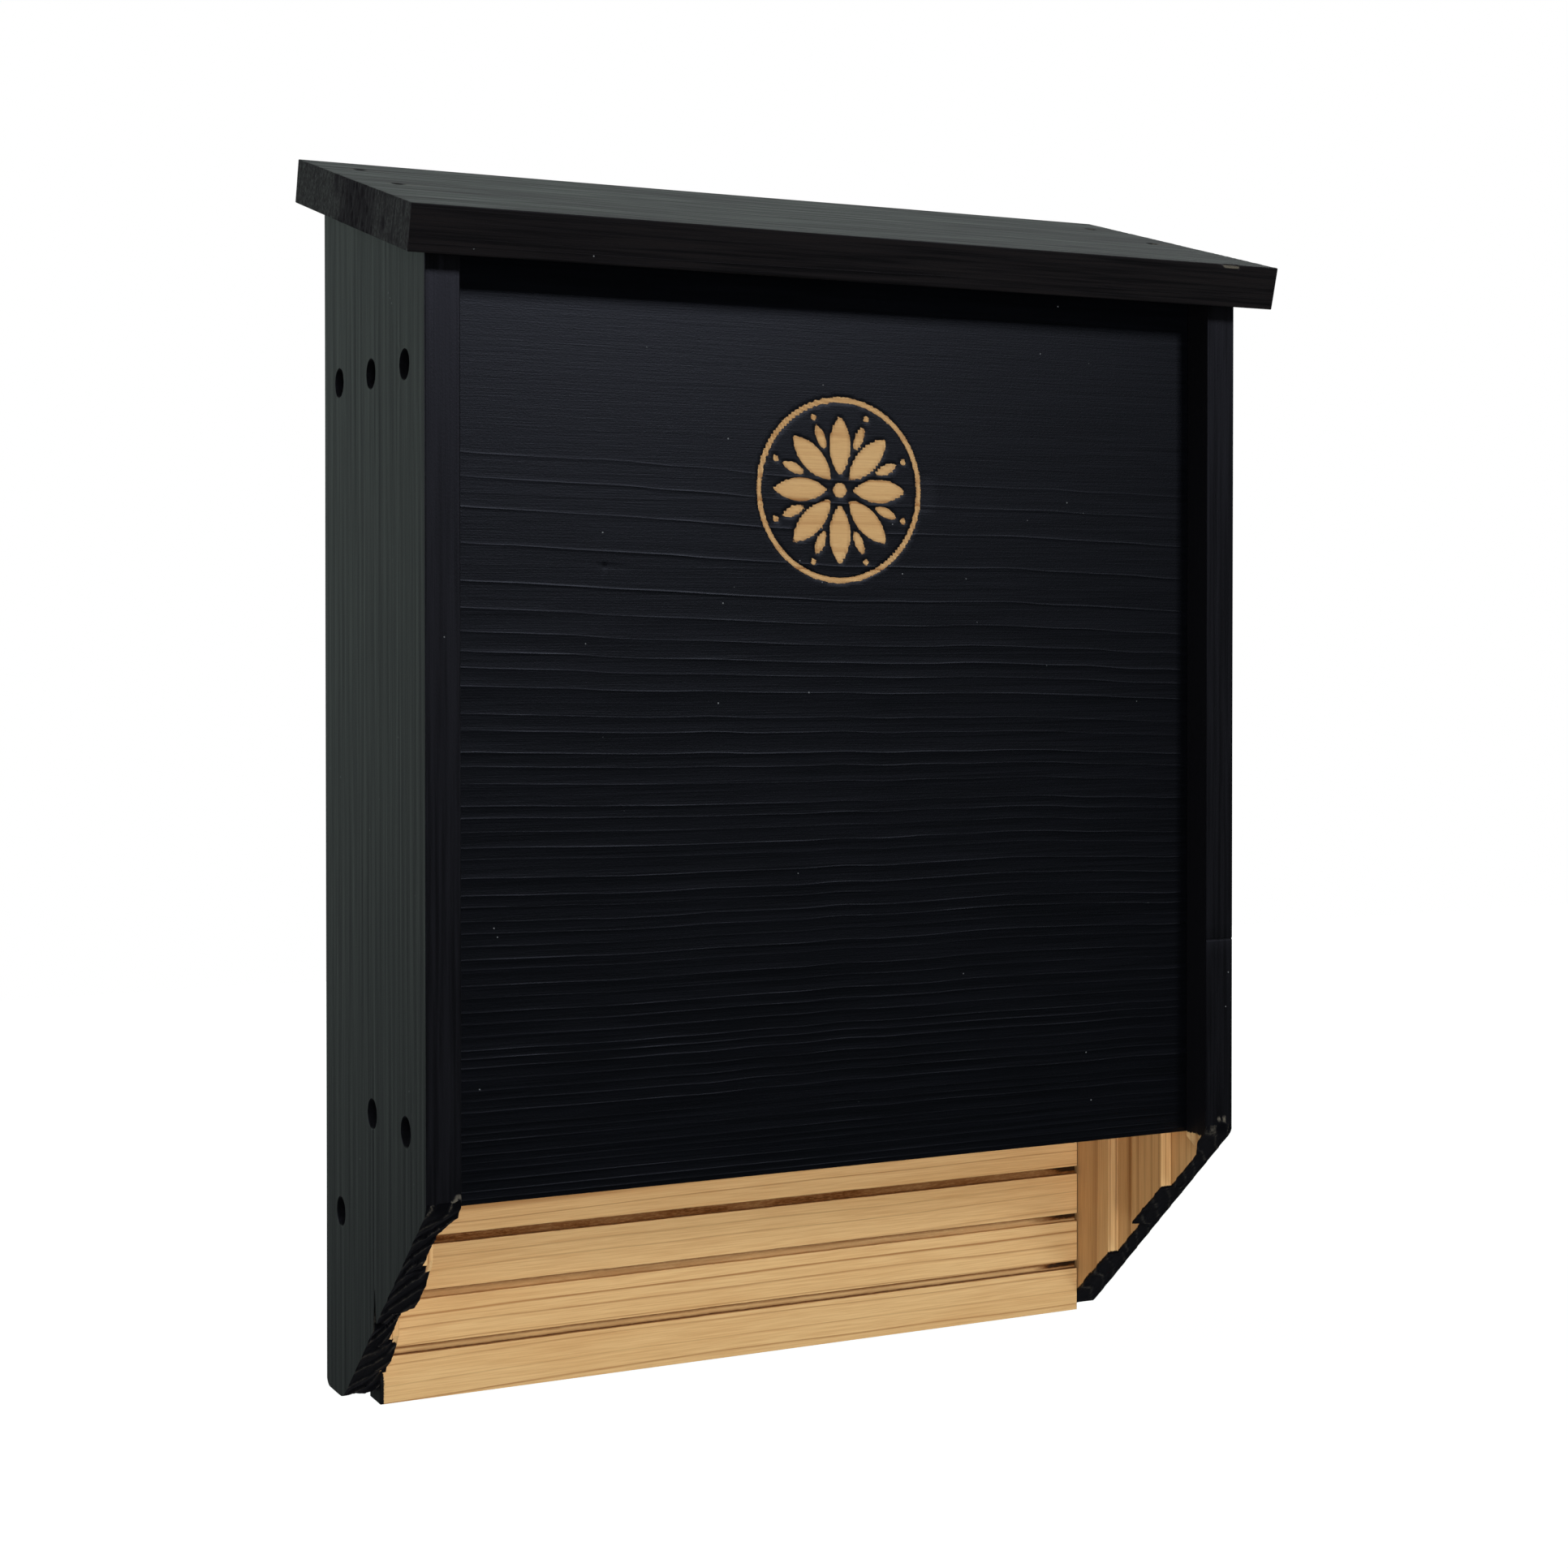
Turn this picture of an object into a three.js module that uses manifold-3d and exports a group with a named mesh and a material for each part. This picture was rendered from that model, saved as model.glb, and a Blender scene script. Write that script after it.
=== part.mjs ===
// A double-chamber bat box that hangs on a wall. Two side panels carry a back panel, whose foot is the
// landing area, and a centre baffle and a front panel that slide into housings in the sides. A sloping
// roof board is nailed on top, and a keyhole plate on the back hangs on a screw in the wall.
// Sizes are in millimetres. X runs across the box, Y points back into the wall and Z is up. The wall is
// the plane y = 0, and the origin is where the wall screw's shank carries the keyhole plate.
import * as THREE from "three";
import { mergeVertices } from "three/addons/utils/BufferGeometryUtils.js";
import Module from "manifold-3d";

const wasm = await Module();
wasm.setup();

// Side panels: heights are measured up from the back panel's foot
const bodyWidth = 315;
const sideDepth = 111;
const sideThickness = 12;
const footLength = 17;
const slantHeight = 85.7;
const leftFootRise = 5;
const rightFootRise = 0.8;
const heelRadius = 4;
const toeRadius = 2.5;
const slantCornerRadius = 6;

// Boards between the sides, from the wall forwards, with the two roosting chambers between them
const backPanelSetback = 12;
const backPanelThickness = 12;
const rearChamberDepth = 22.4;
const baffleThickness = 16;
const frontChamberDepth = 20;
const frontPanelThickness = 16;
const frontPanelFoot = 84.6;
const topPassageHeight = 22;
const housingDepth = 4.5;

// Saw kerfs that the bats climb by
const kerfPitch = 19.05;
const kerfWidth = 3.2;
const kerfDepth = 1.6;
const lowestKerfHeight = 18.2;

// Roof board
const roofSlope = THREE.MathUtils.degToRad(15);
const roofThickness = 15.4;
const roofOverhang = 9.2;
const roofEaves = 14.7;
const roofRearReach = 0.84;
const roofFrontHeight = 406.5;

// Screws through the side panels, three rows at the top and three at the bottom
const screwHeadDiameter = 8;
const screwHeadHeight = 2.2;
const screwShankDiameter = 4;
const screwLength = 38;
const screwPointLength = 6;
const counterboreDiameter = 10;
const counterboreDepth = 5;
const topScrewInset = 34.8;
const backScrewHeight = 68.5;
const lowScrewInset = 24.3;

// Roof nails, driven square to the slope into the side panels
const nailHeadDiameter = 3.8;
const nailHeadHeight = 1.2;
const nailShankDiameter = 2.2;
const nailLength = 40;
const nailPointLength = 4;
const nailSink = 0.5;
const rearNailDistance = 23;
const frontNailDistance = 66;

// Keyhole plate on the back, and its two screws
const hangerInset = 48.7;
const plateLength = 52;
const plateWidth = 20;
const plateThickness = 1.5;
const plateCornerRadius = 9;
const keyholeDiameter = 9.6;
const keyholeSlotWidth = 4.8;
const keyholeDrop = 8;
const pocketMargin = 2.7;
const pocketDepth = 7;
const plateScrewSpacing = 38;
const plateScrewHeadDiameter = 6.4;
const plateScrewHeadHeight = 1.8;
const plateScrewShankDiameter = 3;
const plateScrewLength = 9.5;
const plateScrewPointLength = 3;

// A fastener's head, as shares of its diameter and height: the flat on its top and the cross recess in it
const headTopShare = 0.8;
const recessSpanShare = 0.58;
const recessWidthShare = 0.16;
const recessDepthShare = 0.5;

// Gap between pieces that touch, and how far a cutter runs past what it cuts
const gap = 0.3;
const overrun = 2;

// How many flats each round shape has, and the steps along a rounded corner
const boreSides = 20;
const headSides = 16;
const pilotSides = 12;
const boardCornerSteps = 6;
const plateCornerSteps = 8;

// Planes of the boards, as distances in front of the wall
const halfWidth = bodyWidth / 2;
const innerHalfWidth = halfWidth - sideThickness;
const backPanelFront = backPanelSetback + backPanelThickness;
const baffleRear = backPanelFront + rearChamberDepth;
const baffleFront = baffleRear + baffleThickness;
const frontPanelRear = baffleFront + frontChamberDepth;
const frontPanelFront = frontPanelRear + frontPanelThickness;
const slantRun = sideDepth - footLength;
const roofLength = (sideDepth + roofEaves + roofRearReach) / Math.cos(roofSlope);

// Heights that hang from the roof: the top screws, and the hanging point below the back panel's top
const topScrewHeight = roofUnderside(sideDepth) - topScrewInset;
const hangerHeight = boardTop(backPanelSetback) - hangerInset;
const plateMiddle = hangerHeight - keyholeDrop / 2;
const plateOuterFace = backPanelSetback - gap - plateThickness;

// How deep the underside of a nail's head lies below the roof's top
const nailSeat = nailSink + nailHeadHeight;

const stainedWood = { color: 0x1a1b20, roughness: 0.5, metalness: 0 };
const naturalWood = { color: 0xd2a673, roughness: 0.75, metalness: 0 };
const zincSteel = { color: 0xb9bcc0, roughness: 0.35, metalness: 1 };
const paintedSteel = { color: 0x24262a, roughness: 0.5, metalness: 0.6 };

// A closed geometry as a solid that can be joined and cut
function solidOf(geometry) {
  const bare = geometry.clone();
  bare.deleteAttribute("normal");
  bare.deleteAttribute("uv");
  const merged = mergeVertices(bare);
  return new wasm.Manifold(
    new wasm.Mesh({
      numProp: 3,
      vertProperties: merged.attributes.position.array,
      triVerts: new Uint32Array(merged.index.array),
    }),
  );
}

// The geometry of a solid
function geometryOf(solid) {
  const { vertProperties, triVerts } = solid.getMesh();
  const geometry = new THREE.BufferGeometry();
  geometry.setAttribute("position", new THREE.BufferAttribute(vertProperties, 3));
  geometry.setIndex(new THREE.BufferAttribute(triVerts, 1));
  geometry.computeVertexNormals();
  return geometry;
}

// A geometry with every cutter taken away
function cut(geometry, cutters) {
  return geometryOf(cutters.reduce((solid, cutter) => solid.subtract(solidOf(cutter)), solidOf(geometry)));
}

// Two places along X, the lower one first
function ordered(a, b) {
  return [Math.min(a, b), Math.max(a, b)];
}

function makeMesh(name, geometry, finish) {
  const mesh = new THREE.Mesh(geometry, new THREE.MeshStandardMaterial({ ...finish, flatShading: true }));
  mesh.name = name;
  return mesh;
}

// An outline through corner points, each rounded by its own radius
function roundedOutline(corners) {
  const shape = new THREE.Shape();
  corners.forEach(({ point, radius = 0 }, i) => {
    const before = corners.at(i - 1).point;
    const after = corners[(i + 1) % corners.length].point;
    const inward = before.clone().sub(point).normalize();
    const outward = after.clone().sub(point).normalize();
    const reach = radius / Math.tan(inward.angleTo(outward) / 2);
    const start = point.clone().addScaledVector(inward, reach);
    const end = point.clone().addScaledVector(outward, reach);
    if (i === 0) shape.moveTo(start.x, start.y);
    else shape.lineTo(start.x, start.y);
    if (radius > 0) shape.quadraticCurveTo(point.x, point.y, end.x, end.y);
  });
  shape.closePath();
  return shape;
}

// A profile drawn as (distance in front of the wall, height), carried across the box from x = low to high
const profileAxes = new THREE.Matrix4().makeBasis(
  new THREE.Vector3(0, -1, 0),
  new THREE.Vector3(0, 0, 1),
  new THREE.Vector3(-1, 0, 0),
);
function carriedAcross(shape, low, high) {
  const geometry = new THREE.ExtrudeGeometry(shape, {
    depth: high - low,
    bevelEnabled: false,
    curveSegments: boardCornerSteps,
  });
  return geometry.applyMatrix4(profileAxes).translate(high, 0, 0);
}

// A round rod along X between two places, at a distance in front of the wall and a height
function rodAcross(diameter, low, high, distance, height) {
  return new THREE.CylinderGeometry(diameter / 2, diameter / 2, high - low, boreSides)
    .rotateZ(Math.PI / 2)
    .translate((low + high) / 2, -distance, height);
}

// A block between two corners, each given as (x, distance in front of the wall, height)
function block([x0, d0, z0], [x1, d1, z1]) {
  return new THREE.BoxGeometry(x1 - x0, d1 - d0, z1 - z0).translate(
    (x0 + x1) / 2,
    -(d0 + d1) / 2,
    (z0 + z1) / 2,
  );
}

// Height of the roof's underside, and of a board that ends just under it, at a distance in front of the wall
function roofUnderside(distance) {
  const topAtDistance = roofFrontHeight + (sideDepth + roofEaves - distance) * Math.tan(roofSlope);
  return topAtDistance - roofThickness / Math.cos(roofSlope);
}
function boardTop(distance) {
  return roofUnderside(distance) - gap / Math.cos(roofSlope);
}

// A headed fastener that points down, with the underside of its head at the origin
function fastenerGeometry({ headDiameter, headHeight, shankDiameter, length, pointLength, recess }) {
  const headRadius = headDiameter / 2;
  const shankRadius = shankDiameter / 2;
  const profile = [
    new THREE.Vector2(0, -length),
    new THREE.Vector2(shankRadius, pointLength - length),
    new THREE.Vector2(shankRadius, 0),
    new THREE.Vector2(headRadius, 0),
    new THREE.Vector2(headRadius, headHeight / 2),
    new THREE.Vector2(headRadius * headTopShare, headHeight),
    new THREE.Vector2(0, headHeight),
  ];
  const turned = new THREE.LatheGeometry(profile, headSides);
  if (!recess) return geometryOf(solidOf(turned));
  const span = headDiameter * recessSpanShare;
  const width = headDiameter * recessWidthShare;
  const depth = headHeight * recessDepthShare;
  const arms = [
    [span, width],
    [width, span],
  ].map(([x, z]) =>
    new THREE.BoxGeometry(x, depth + overrun, z).translate(0, headHeight + (overrun - depth) / 2, 0),
  );
  return cut(turned, arms);
}

const sideScrew = {
  headDiameter: screwHeadDiameter,
  headHeight: screwHeadHeight,
  shankDiameter: screwShankDiameter,
  length: screwLength,
  pointLength: screwPointLength,
  recess: true,
};
const roofNail = {
  headDiameter: nailHeadDiameter,
  headHeight: nailHeadHeight,
  shankDiameter: nailShankDiameter,
  length: nailLength,
  pointLength: nailPointLength,
  recess: false,
};
const plateScrew = {
  headDiameter: plateScrewHeadDiameter,
  headHeight: plateScrewHeadHeight,
  shankDiameter: plateScrewShankDiameter,
  length: plateScrewLength,
  pointLength: plateScrewPointLength,
  recess: true,
};

// Each row of side screws follows the middle of the board that it holds
const screwRows = [
  { board: "back", distance: (backPanelSetback + backPanelFront) / 2, low: backScrewHeight },
  { board: "baffle", distance: (baffleRear + baffleFront) / 2, low: frontPanelFoot + lowScrewInset },
  { board: "front", distance: (frontPanelRear + frontPanelFront) / 2, low: frontPanelFoot + lowScrewInset },
];
const sides = [
  { name: "left", sign: -1, footRise: leftFootRise },
  { name: "right", sign: 1, footRise: rightFootRise },
];
const boardEndInHousing = innerHalfWidth + housingDepth - gap;
const screwSeat = halfWidth - counterboreDepth + gap;
const screwReach = screwSeat - screwLength - gap;

// The screws' clearance holes in both ends of the board that a row holds
function screwHoles(row) {
  return sides.flatMap(({ sign }) =>
    [topScrewHeight, row.low].map((height) => {
      const ends = ordered(sign * screwReach, sign * halfWidth);
      return rodAcross(screwShankDiameter + 2 * gap, ...ends, row.distance, height);
    }),
  );
}

// The roof's own frame: its origin is the middle of the top front edge, Y runs up the slope, Z stands on it
const roofFrame = new THREE.Group();
roofFrame.position.set(0, -(sideDepth + roofEaves), roofFrontHeight);
roofFrame.rotation.x = roofSlope;
roofFrame.updateMatrix();
const nailPlaces = sides.flatMap(({ name, sign }) =>
  [
    ["rear", rearNailDistance],
    ["front", frontNailDistance],
  ].map(([row, distance]) => ({
    name: `roof_nail_${name}_${row}`,
    sign,
    x: sign * (halfWidth - sideThickness / 2),
    along: (sideDepth + roofEaves - distance) / Math.cos(roofSlope),
  })),
);

// A nail's clearance hole, in the roof's frame
function nailHole({ x, along }) {
  const shank = new THREE.CylinderGeometry(
    nailShankDiameter / 2 + gap,
    nailShankDiameter / 2 + gap,
    nailLength + overrun + gap,
    pilotSides,
  );
  return shank.rotateX(Math.PI / 2).translate(x, along, (overrun - nailLength - gap) / 2 - nailSeat);
}

// The slanted outline of a side panel, its two housings, counterbored screw holes and nail holes
function sidePanel({ sign, footRise }) {
  const toe = footLength + (footRise * slantRun) / slantHeight;
  const outline = roundedOutline([
    { point: new THREE.Vector2(0, footRise), radius: heelRadius },
    { point: new THREE.Vector2(toe, footRise), radius: toeRadius },
    { point: new THREE.Vector2(sideDepth, slantHeight), radius: slantCornerRadius },
    { point: new THREE.Vector2(sideDepth, boardTop(sideDepth)) },
    { point: new THREE.Vector2(0, boardTop(0)) },
  ]);
  const panelFaces = ordered(sign * innerHalfWidth, sign * halfWidth);
  const [x0, x1] = ordered(sign * (innerHalfWidth - overrun), sign * (innerHalfWidth + housingDepth));
  const housings = [
    [baffleRear, baffleFront],
    [frontPanelRear, frontPanelFront],
  ].map(([rear, front]) =>
    block([x0, rear - gap, -overrun], [x1, front + gap, roofUnderside(0) + overrun]),
  );
  const outside = sign * (halfWidth + overrun);
  const counterbore = ordered(sign * (halfWidth - counterboreDepth), outside);
  const clearanceHole = ordered(sign * (innerHalfWidth - overrun), outside);
  const bores = screwRows.flatMap(({ distance, low }) =>
    [topScrewHeight, low].flatMap((height) => [
      rodAcross(counterboreDiameter, ...counterbore, distance, height),
      rodAcross(screwShankDiameter + 2 * gap, ...clearanceHole, distance, height),
    ]),
  );
  const nailHoles = nailPlaces
    .filter((nail) => nail.sign === sign)
    .map((nail) => nailHole(nail).applyMatrix4(roofFrame.matrix));
  return cut(carriedAcross(outline, ...panelFaces), [...housings, ...bores, ...nailHoles]);
}

// A board's profile: its foot, its two faces with climbing kerfs where asked for, and its top
function boardShape({ rear, front, foot, rearTop, frontTop, kerfsAtFront, kerfsAtRear }) {
  const highestKerf = Math.min(rearTop, frontTop) - lowestKerfHeight;
  const kerfCount = Math.floor((highestKerf - foot - lowestKerfHeight) / kerfPitch) + 1;
  const kerfHeights = Array.from({ length: kerfCount }, (_, i) => foot + lowestKerfHeight + i * kerfPitch);
  const kerfPoints = (face, floor) =>
    kerfHeights.flatMap((height) => [
      [face, height - kerfWidth / 2],
      [floor, height - kerfWidth / 2],
      [floor, height + kerfWidth / 2],
      [face, height + kerfWidth / 2],
    ]);
  const points = [
    [rear, foot],
    [front, foot],
    ...(kerfsAtFront ? kerfPoints(front, front - kerfDepth) : []),
    [front, frontTop],
    [rear, rearTop],
    ...(kerfsAtRear ? kerfPoints(rear, rear + kerfDepth).reverse() : []),
  ];
  return new THREE.Shape(points.map(([distance, height]) => new THREE.Vector2(distance, height)));
}

// The pocket behind the keyhole, where the wall screw's head goes
function hangerPocket() {
  const width = keyholeDiameter + 2 * pocketMargin;
  const height = keyholeDrop + width;
  return block(
    [-width / 2, backPanelSetback - overrun, plateMiddle - height / 2],
    [width / 2, backPanelSetback + pocketDepth, plateMiddle + height / 2],
  );
}

// Pilot holes for the two plate screws, as rods along Y
function plateScrewHoles() {
  const depth = plateScrewLength + gap;
  return [-1, 1].map((sign) =>
    new THREE.CylinderGeometry(
      plateScrewShankDiameter / 2 + gap,
      plateScrewShankDiameter / 2 + gap,
      depth + overrun,
      pilotSides,
    ).translate((sign * plateScrewSpacing) / 2, (overrun - depth) / 2 - plateOuterFace, plateMiddle),
  );
}

function backPanel() {
  const shape = boardShape({
    rear: backPanelSetback,
    front: backPanelFront,
    foot: 0,
    rearTop: boardTop(backPanelSetback),
    frontTop: boardTop(backPanelFront),
    kerfsAtFront: true,
    kerfsAtRear: false,
  });
  const end = innerHalfWidth - gap;
  const cutters = [...screwHoles(screwRows[0]), hangerPocket(), ...plateScrewHoles()];
  return cut(carriedAcross(shape, -end, end), cutters);
}

function centreBaffle() {
  const top = roofUnderside(baffleFront) - topPassageHeight;
  const shape = boardShape({
    rear: baffleRear,
    front: baffleFront,
    foot: frontPanelFoot,
    rearTop: top,
    frontTop: top,
    kerfsAtFront: true,
    kerfsAtRear: true,
  });
  return cut(carriedAcross(shape, -boardEndInHousing, boardEndInHousing), screwHoles(screwRows[1]));
}

function frontPanel() {
  const shape = boardShape({
    rear: frontPanelRear,
    front: frontPanelFront,
    foot: frontPanelFoot,
    rearTop: boardTop(frontPanelRear),
    frontTop: boardTop(frontPanelFront),
    kerfsAtFront: false,
    kerfsAtRear: false,
  });
  return cut(carriedAcross(shape, -boardEndInHousing, boardEndInHousing), screwHoles(screwRows[2]));
}

// The roof board in its own frame, with a sunk hole for each nail
function roofBoard() {
  const width = bodyWidth + 2 * roofOverhang;
  const board = new THREE.BoxGeometry(width, roofLength, roofThickness).translate(
    0,
    roofLength / 2,
    -roofThickness / 2,
  );
  const sunkHeads = nailPlaces.map(({ x, along }) =>
    new THREE.CylinderGeometry(
      nailHeadDiameter / 2 + gap,
      nailHeadDiameter / 2 + gap,
      nailSeat + gap + overrun,
      headSides,
    )
      .rotateX(Math.PI / 2)
      .translate(x, along, (overrun - nailSeat - gap) / 2),
  );
  return cut(board, [...sunkHeads, ...nailPlaces.map(nailHole)]);
}

// The keyhole plate: a flat strip with rounded ends, a keyhole slot and two screw holes
function hangerPlate() {
  const [x, z] = [plateLength / 2, plateWidth / 2];
  const lift = plateMiddle - hangerHeight;
  const shape = roundedOutline(
    [
      [-x, -z],
      [x, -z],
      [x, z],
      [-x, z],
    ].map(([px, pz]) => ({ point: new THREE.Vector2(px, pz + lift), radius: plateCornerRadius })),
  );
  const slotHalf = keyholeSlotWidth / 2;
  const roundRadius = keyholeDiameter / 2;
  const neck = Math.asin(slotHalf / roundRadius);
  const keyhole = new THREE.Path();
  keyhole.absarc(0, 0, slotHalf, 0, Math.PI, false);
  keyhole.absarc(0, -keyholeDrop, roundRadius, Math.PI / 2 + neck, Math.PI / 2 - neck + 2 * Math.PI, false);
  keyhole.closePath();
  shape.holes.push(keyhole);
  for (const sign of [-1, 1]) {
    const hole = new THREE.Path();
    const radius = plateScrewShankDiameter / 2 + gap;
    hole.absarc((sign * plateScrewSpacing) / 2, lift, radius, 0, 2 * Math.PI, false);
    shape.holes.push(hole);
  }
  const plate = new THREE.ExtrudeGeometry(shape, {
    depth: plateThickness,
    bevelEnabled: false,
    curveSegments: plateCornerSteps,
  });
  return geometryOf(solidOf(plate.rotateX(Math.PI / 2)));
}

const batBox = new THREE.Group();
batBox.position.z = -hangerHeight;

for (const side of sides) batBox.add(makeMesh(`side_panel_${side.name}`, sidePanel(side), stainedWood));
batBox.add(makeMesh("back_panel", backPanel(), naturalWood));
batBox.add(makeMesh("centre_baffle", centreBaffle(), naturalWood));
batBox.add(makeMesh("front_panel", frontPanel(), stainedWood));

for (const { name, sign } of sides) {
  for (const { board, distance, low } of screwRows) {
    for (const [level, height] of [
      ["top", topScrewHeight],
      ["low", low],
    ]) {
      const screw = makeMesh(`${board}_screw_${name}_${level}`, fastenerGeometry(sideScrew), zincSteel);
      screw.position.set(sign * screwSeat, -distance, height);
      screw.rotation.z = (-sign * Math.PI) / 2;
      batBox.add(screw);
    }
  }
}

roofFrame.add(makeMesh("roof_board", roofBoard(), stainedWood));
for (const { name, x, along } of nailPlaces) {
  const nail = makeMesh(name, fastenerGeometry(roofNail), paintedSteel);
  nail.position.set(x, along, -nailSeat);
  nail.rotation.x = Math.PI / 2;
  roofFrame.add(nail);
}
batBox.add(roofFrame);

const hanger = new THREE.Group();
hanger.position.set(0, -plateOuterFace, hangerHeight);
const plate = makeMesh("hanger_plate", hangerPlate(), zincSteel);
hanger.add(plate);
for (const { name, sign } of sides) {
  const screw = makeMesh(`hanger_screw_${name}`, fastenerGeometry(plateScrew), zincSteel);
  screw.position.set((sign * plateScrewSpacing) / 2, gap, plateMiddle - hangerHeight);
  hanger.add(screw);
}
batBox.add(hanger);

export default batBox;
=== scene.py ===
"""A double-chamber bat box of pine boards, stained black outside and bare inside, that hangs on a wall.

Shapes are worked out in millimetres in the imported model's frame: X runs across the box, Y points back into
the wall and Z is up. A depth is a distance in front of the wall, and a height is measured up from the back
panel's foot. Meshes are written in metres.
"""
import math

import bmesh
import bpy
import numpy as np
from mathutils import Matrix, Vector


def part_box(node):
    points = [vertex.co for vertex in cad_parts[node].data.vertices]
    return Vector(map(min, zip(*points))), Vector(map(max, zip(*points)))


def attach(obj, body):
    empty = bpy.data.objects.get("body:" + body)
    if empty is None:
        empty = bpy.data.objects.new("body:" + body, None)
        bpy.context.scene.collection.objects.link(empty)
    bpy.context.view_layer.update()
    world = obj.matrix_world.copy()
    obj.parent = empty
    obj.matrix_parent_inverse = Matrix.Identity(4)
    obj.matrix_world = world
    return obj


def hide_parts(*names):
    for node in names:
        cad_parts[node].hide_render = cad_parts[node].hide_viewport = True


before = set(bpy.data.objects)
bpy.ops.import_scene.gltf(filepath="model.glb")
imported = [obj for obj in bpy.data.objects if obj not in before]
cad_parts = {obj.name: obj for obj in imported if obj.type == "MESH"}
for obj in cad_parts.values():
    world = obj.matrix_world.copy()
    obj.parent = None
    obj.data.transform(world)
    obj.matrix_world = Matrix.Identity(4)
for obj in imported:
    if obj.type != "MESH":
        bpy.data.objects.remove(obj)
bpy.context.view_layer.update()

MM = 0.001

# The camera, at the photograph's viewing angle
CAMERA_PLACE = (-0.42485, -0.90611, -0.09896)
CAMERA_AIM = (0.0256, 0.0, -0.11224)
CAMERA_LENS = 59.79
CAMERA_SHIFT_Y = -0.0763

# The studio: what the lamps look at, where the backdrop is, and how bright the room is
LAMP_AIM = (0.0, -0.06, -0.15)
BACKDROP_DIRECTION = (0.3, 0.93, 0.2)
BACKDROP_FADE = (0.6, 1.11)
BACKDROP_REFLECTED = "#e2f6ea"
ROOM_LIGHT = 0.2
ROOM_REFLECTED = 0.012
FLOOR_PAPER = "#bcbcbc"
FLOOR_GLOW = 0.85
FLOOR_FADE = (3.0, 7.0)
FLOOR_REACH = 9000.0
FLOOR_DROP = 1100.0

# Lamps: azimuth and elevation in degrees, distance, width and height in metres, power in watts
LAMPS = {
    "key_lamp": (20, 24, 2.4, 0.5, 0.35, 11.5),
    "fill_lamp": (-10, -6, 2.4, 1.4, 1.4, 27),
    "rear_lamp": (170, 30, 2.6, 1.6, 1.6, 40),
    "right_lamp": (102, 22, 2.6, 1.6, 1.6, 30),
    "left_lamp": (-96, 22, 2.6, 1.6, 1.6, 20),
}

# Pine, as sRGB: early wood, late wood, warm blotches, fibres, wood browned by the saw that in the kerfs is
# also painted shade, and burnt wood that is also the kerfs' deepest painted shade
EARLY_WOOD = "#eec68d"
LATE_WOOD = "#ae7b47"
WARM_WOOD = "#dfae72"
FIBRE_WOOD = "#c39560"
BROWNED_AND_SHADED_WOOD = "#6f3d10"
BURNT_AND_SHADED_WOOD = "#2b1a0b"

# The black stain: soaked into open end grain, and flat black as painted shade in counterbores and recesses;
# rubbed thin, and greyish brown as a painted highlight on torn ridges; and with specks of dust
SOAKED_STAIN_AND_SHADE = "#020203"
RUBBED_STAIN_AND_HIGHLIGHT = "#6d675b"
DUST = "#8f9296"

# Steel: bright and clouded zinc, black stain on zinc, thin stain on a nail, and bare steel where it is worn
ZINC = ("#c9ccd0", "#9fa4aa")
STAINED_ZINC = "#08090a"
NAIL_STAIN = "#26282a"
WORN_NAIL = "#85847d"

# The boards' wood: the axes along the grain, across it and through the thickness, the rings' middle in mm on
# the last two, the rings' width in mm, the share of late wood and its relief, the stain's darker and lighter
# colour, the tint of what it mirrors, and its least and most roughness
WOODS = (
    ("stained_pine_sides", "ZYX", (-30, 70), 2.6, 0.38, 0.35, ("#060607", "#0f0f12"), "#dfe2ff",
     (0.38, 0.46)),
    ("stained_pine_front", "XZY", (20, -290), 3.3, 0.3, 0.35, ("#030406", "#06070b"), "#dfe6ff",
     (0.38, 0.42)),
    ("stained_pine_roof", "XYZ", (-60, -80), 2.8, 0.38, 0.6, ("#060606", "#141110"), "#f4ecff", (0.45, 0.8)),
    ("bare_pine", "XZY", (-500, -130), 5.2, 0.2, 0.5, ("#0b0c0e", "#15161a"), "#ffffff", (0.4, 0.5)),
)

# Noise in the wood. Each has a cell of so many mm along the grain and across it, a detail and a roughness
GRAIN_NOISE = {
    "wander": (260, 40, 2, 0.5),
    "blotch": (120, 18, 2, 0.5),
    "streak": (60, 1.3, 3, 0.6),
    "fibre": (22, 0.45, 3, 0.6),
    "fuzz": (2.4, 0.5, 3, 0.7),
    "speckle": (0.9, 0.5, 2, 0.5),
}

# What the noise does to the wood: the noise, the levels it is cut off at, and the least and the most of it
GRAIN_SHARES = {
    "blotched": ("blotch", 0.35, 0.7, 0.0, 0.4),
    "fibrous": ("fibre", 0.3, 0.75, 0.0, 0.34),
    "streaked": ("streak", 0.32, 0.72, 0.0, 1.0),
    "fuzzy": ("fuzz", 0.25, 0.6, 0.78, 1.0),
}

# Growth rings: how far their lines wander, how unevenly they follow each other, and over how many mm
RING_WANDER = 4.5
RING_UNEVENNESS = 1.6
RING_UNEVEN_CELL = 9.0

# The tones between which brown turns to burnt wood and deepest painted shade, the stain's ragged edge, and
# the dust specks' spacing
BURNT_AND_SHADED_TONES = (0.92, 1.15)
STAIN_RAGGEDNESS = 0.55
DUST_CELL = 11.0

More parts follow.
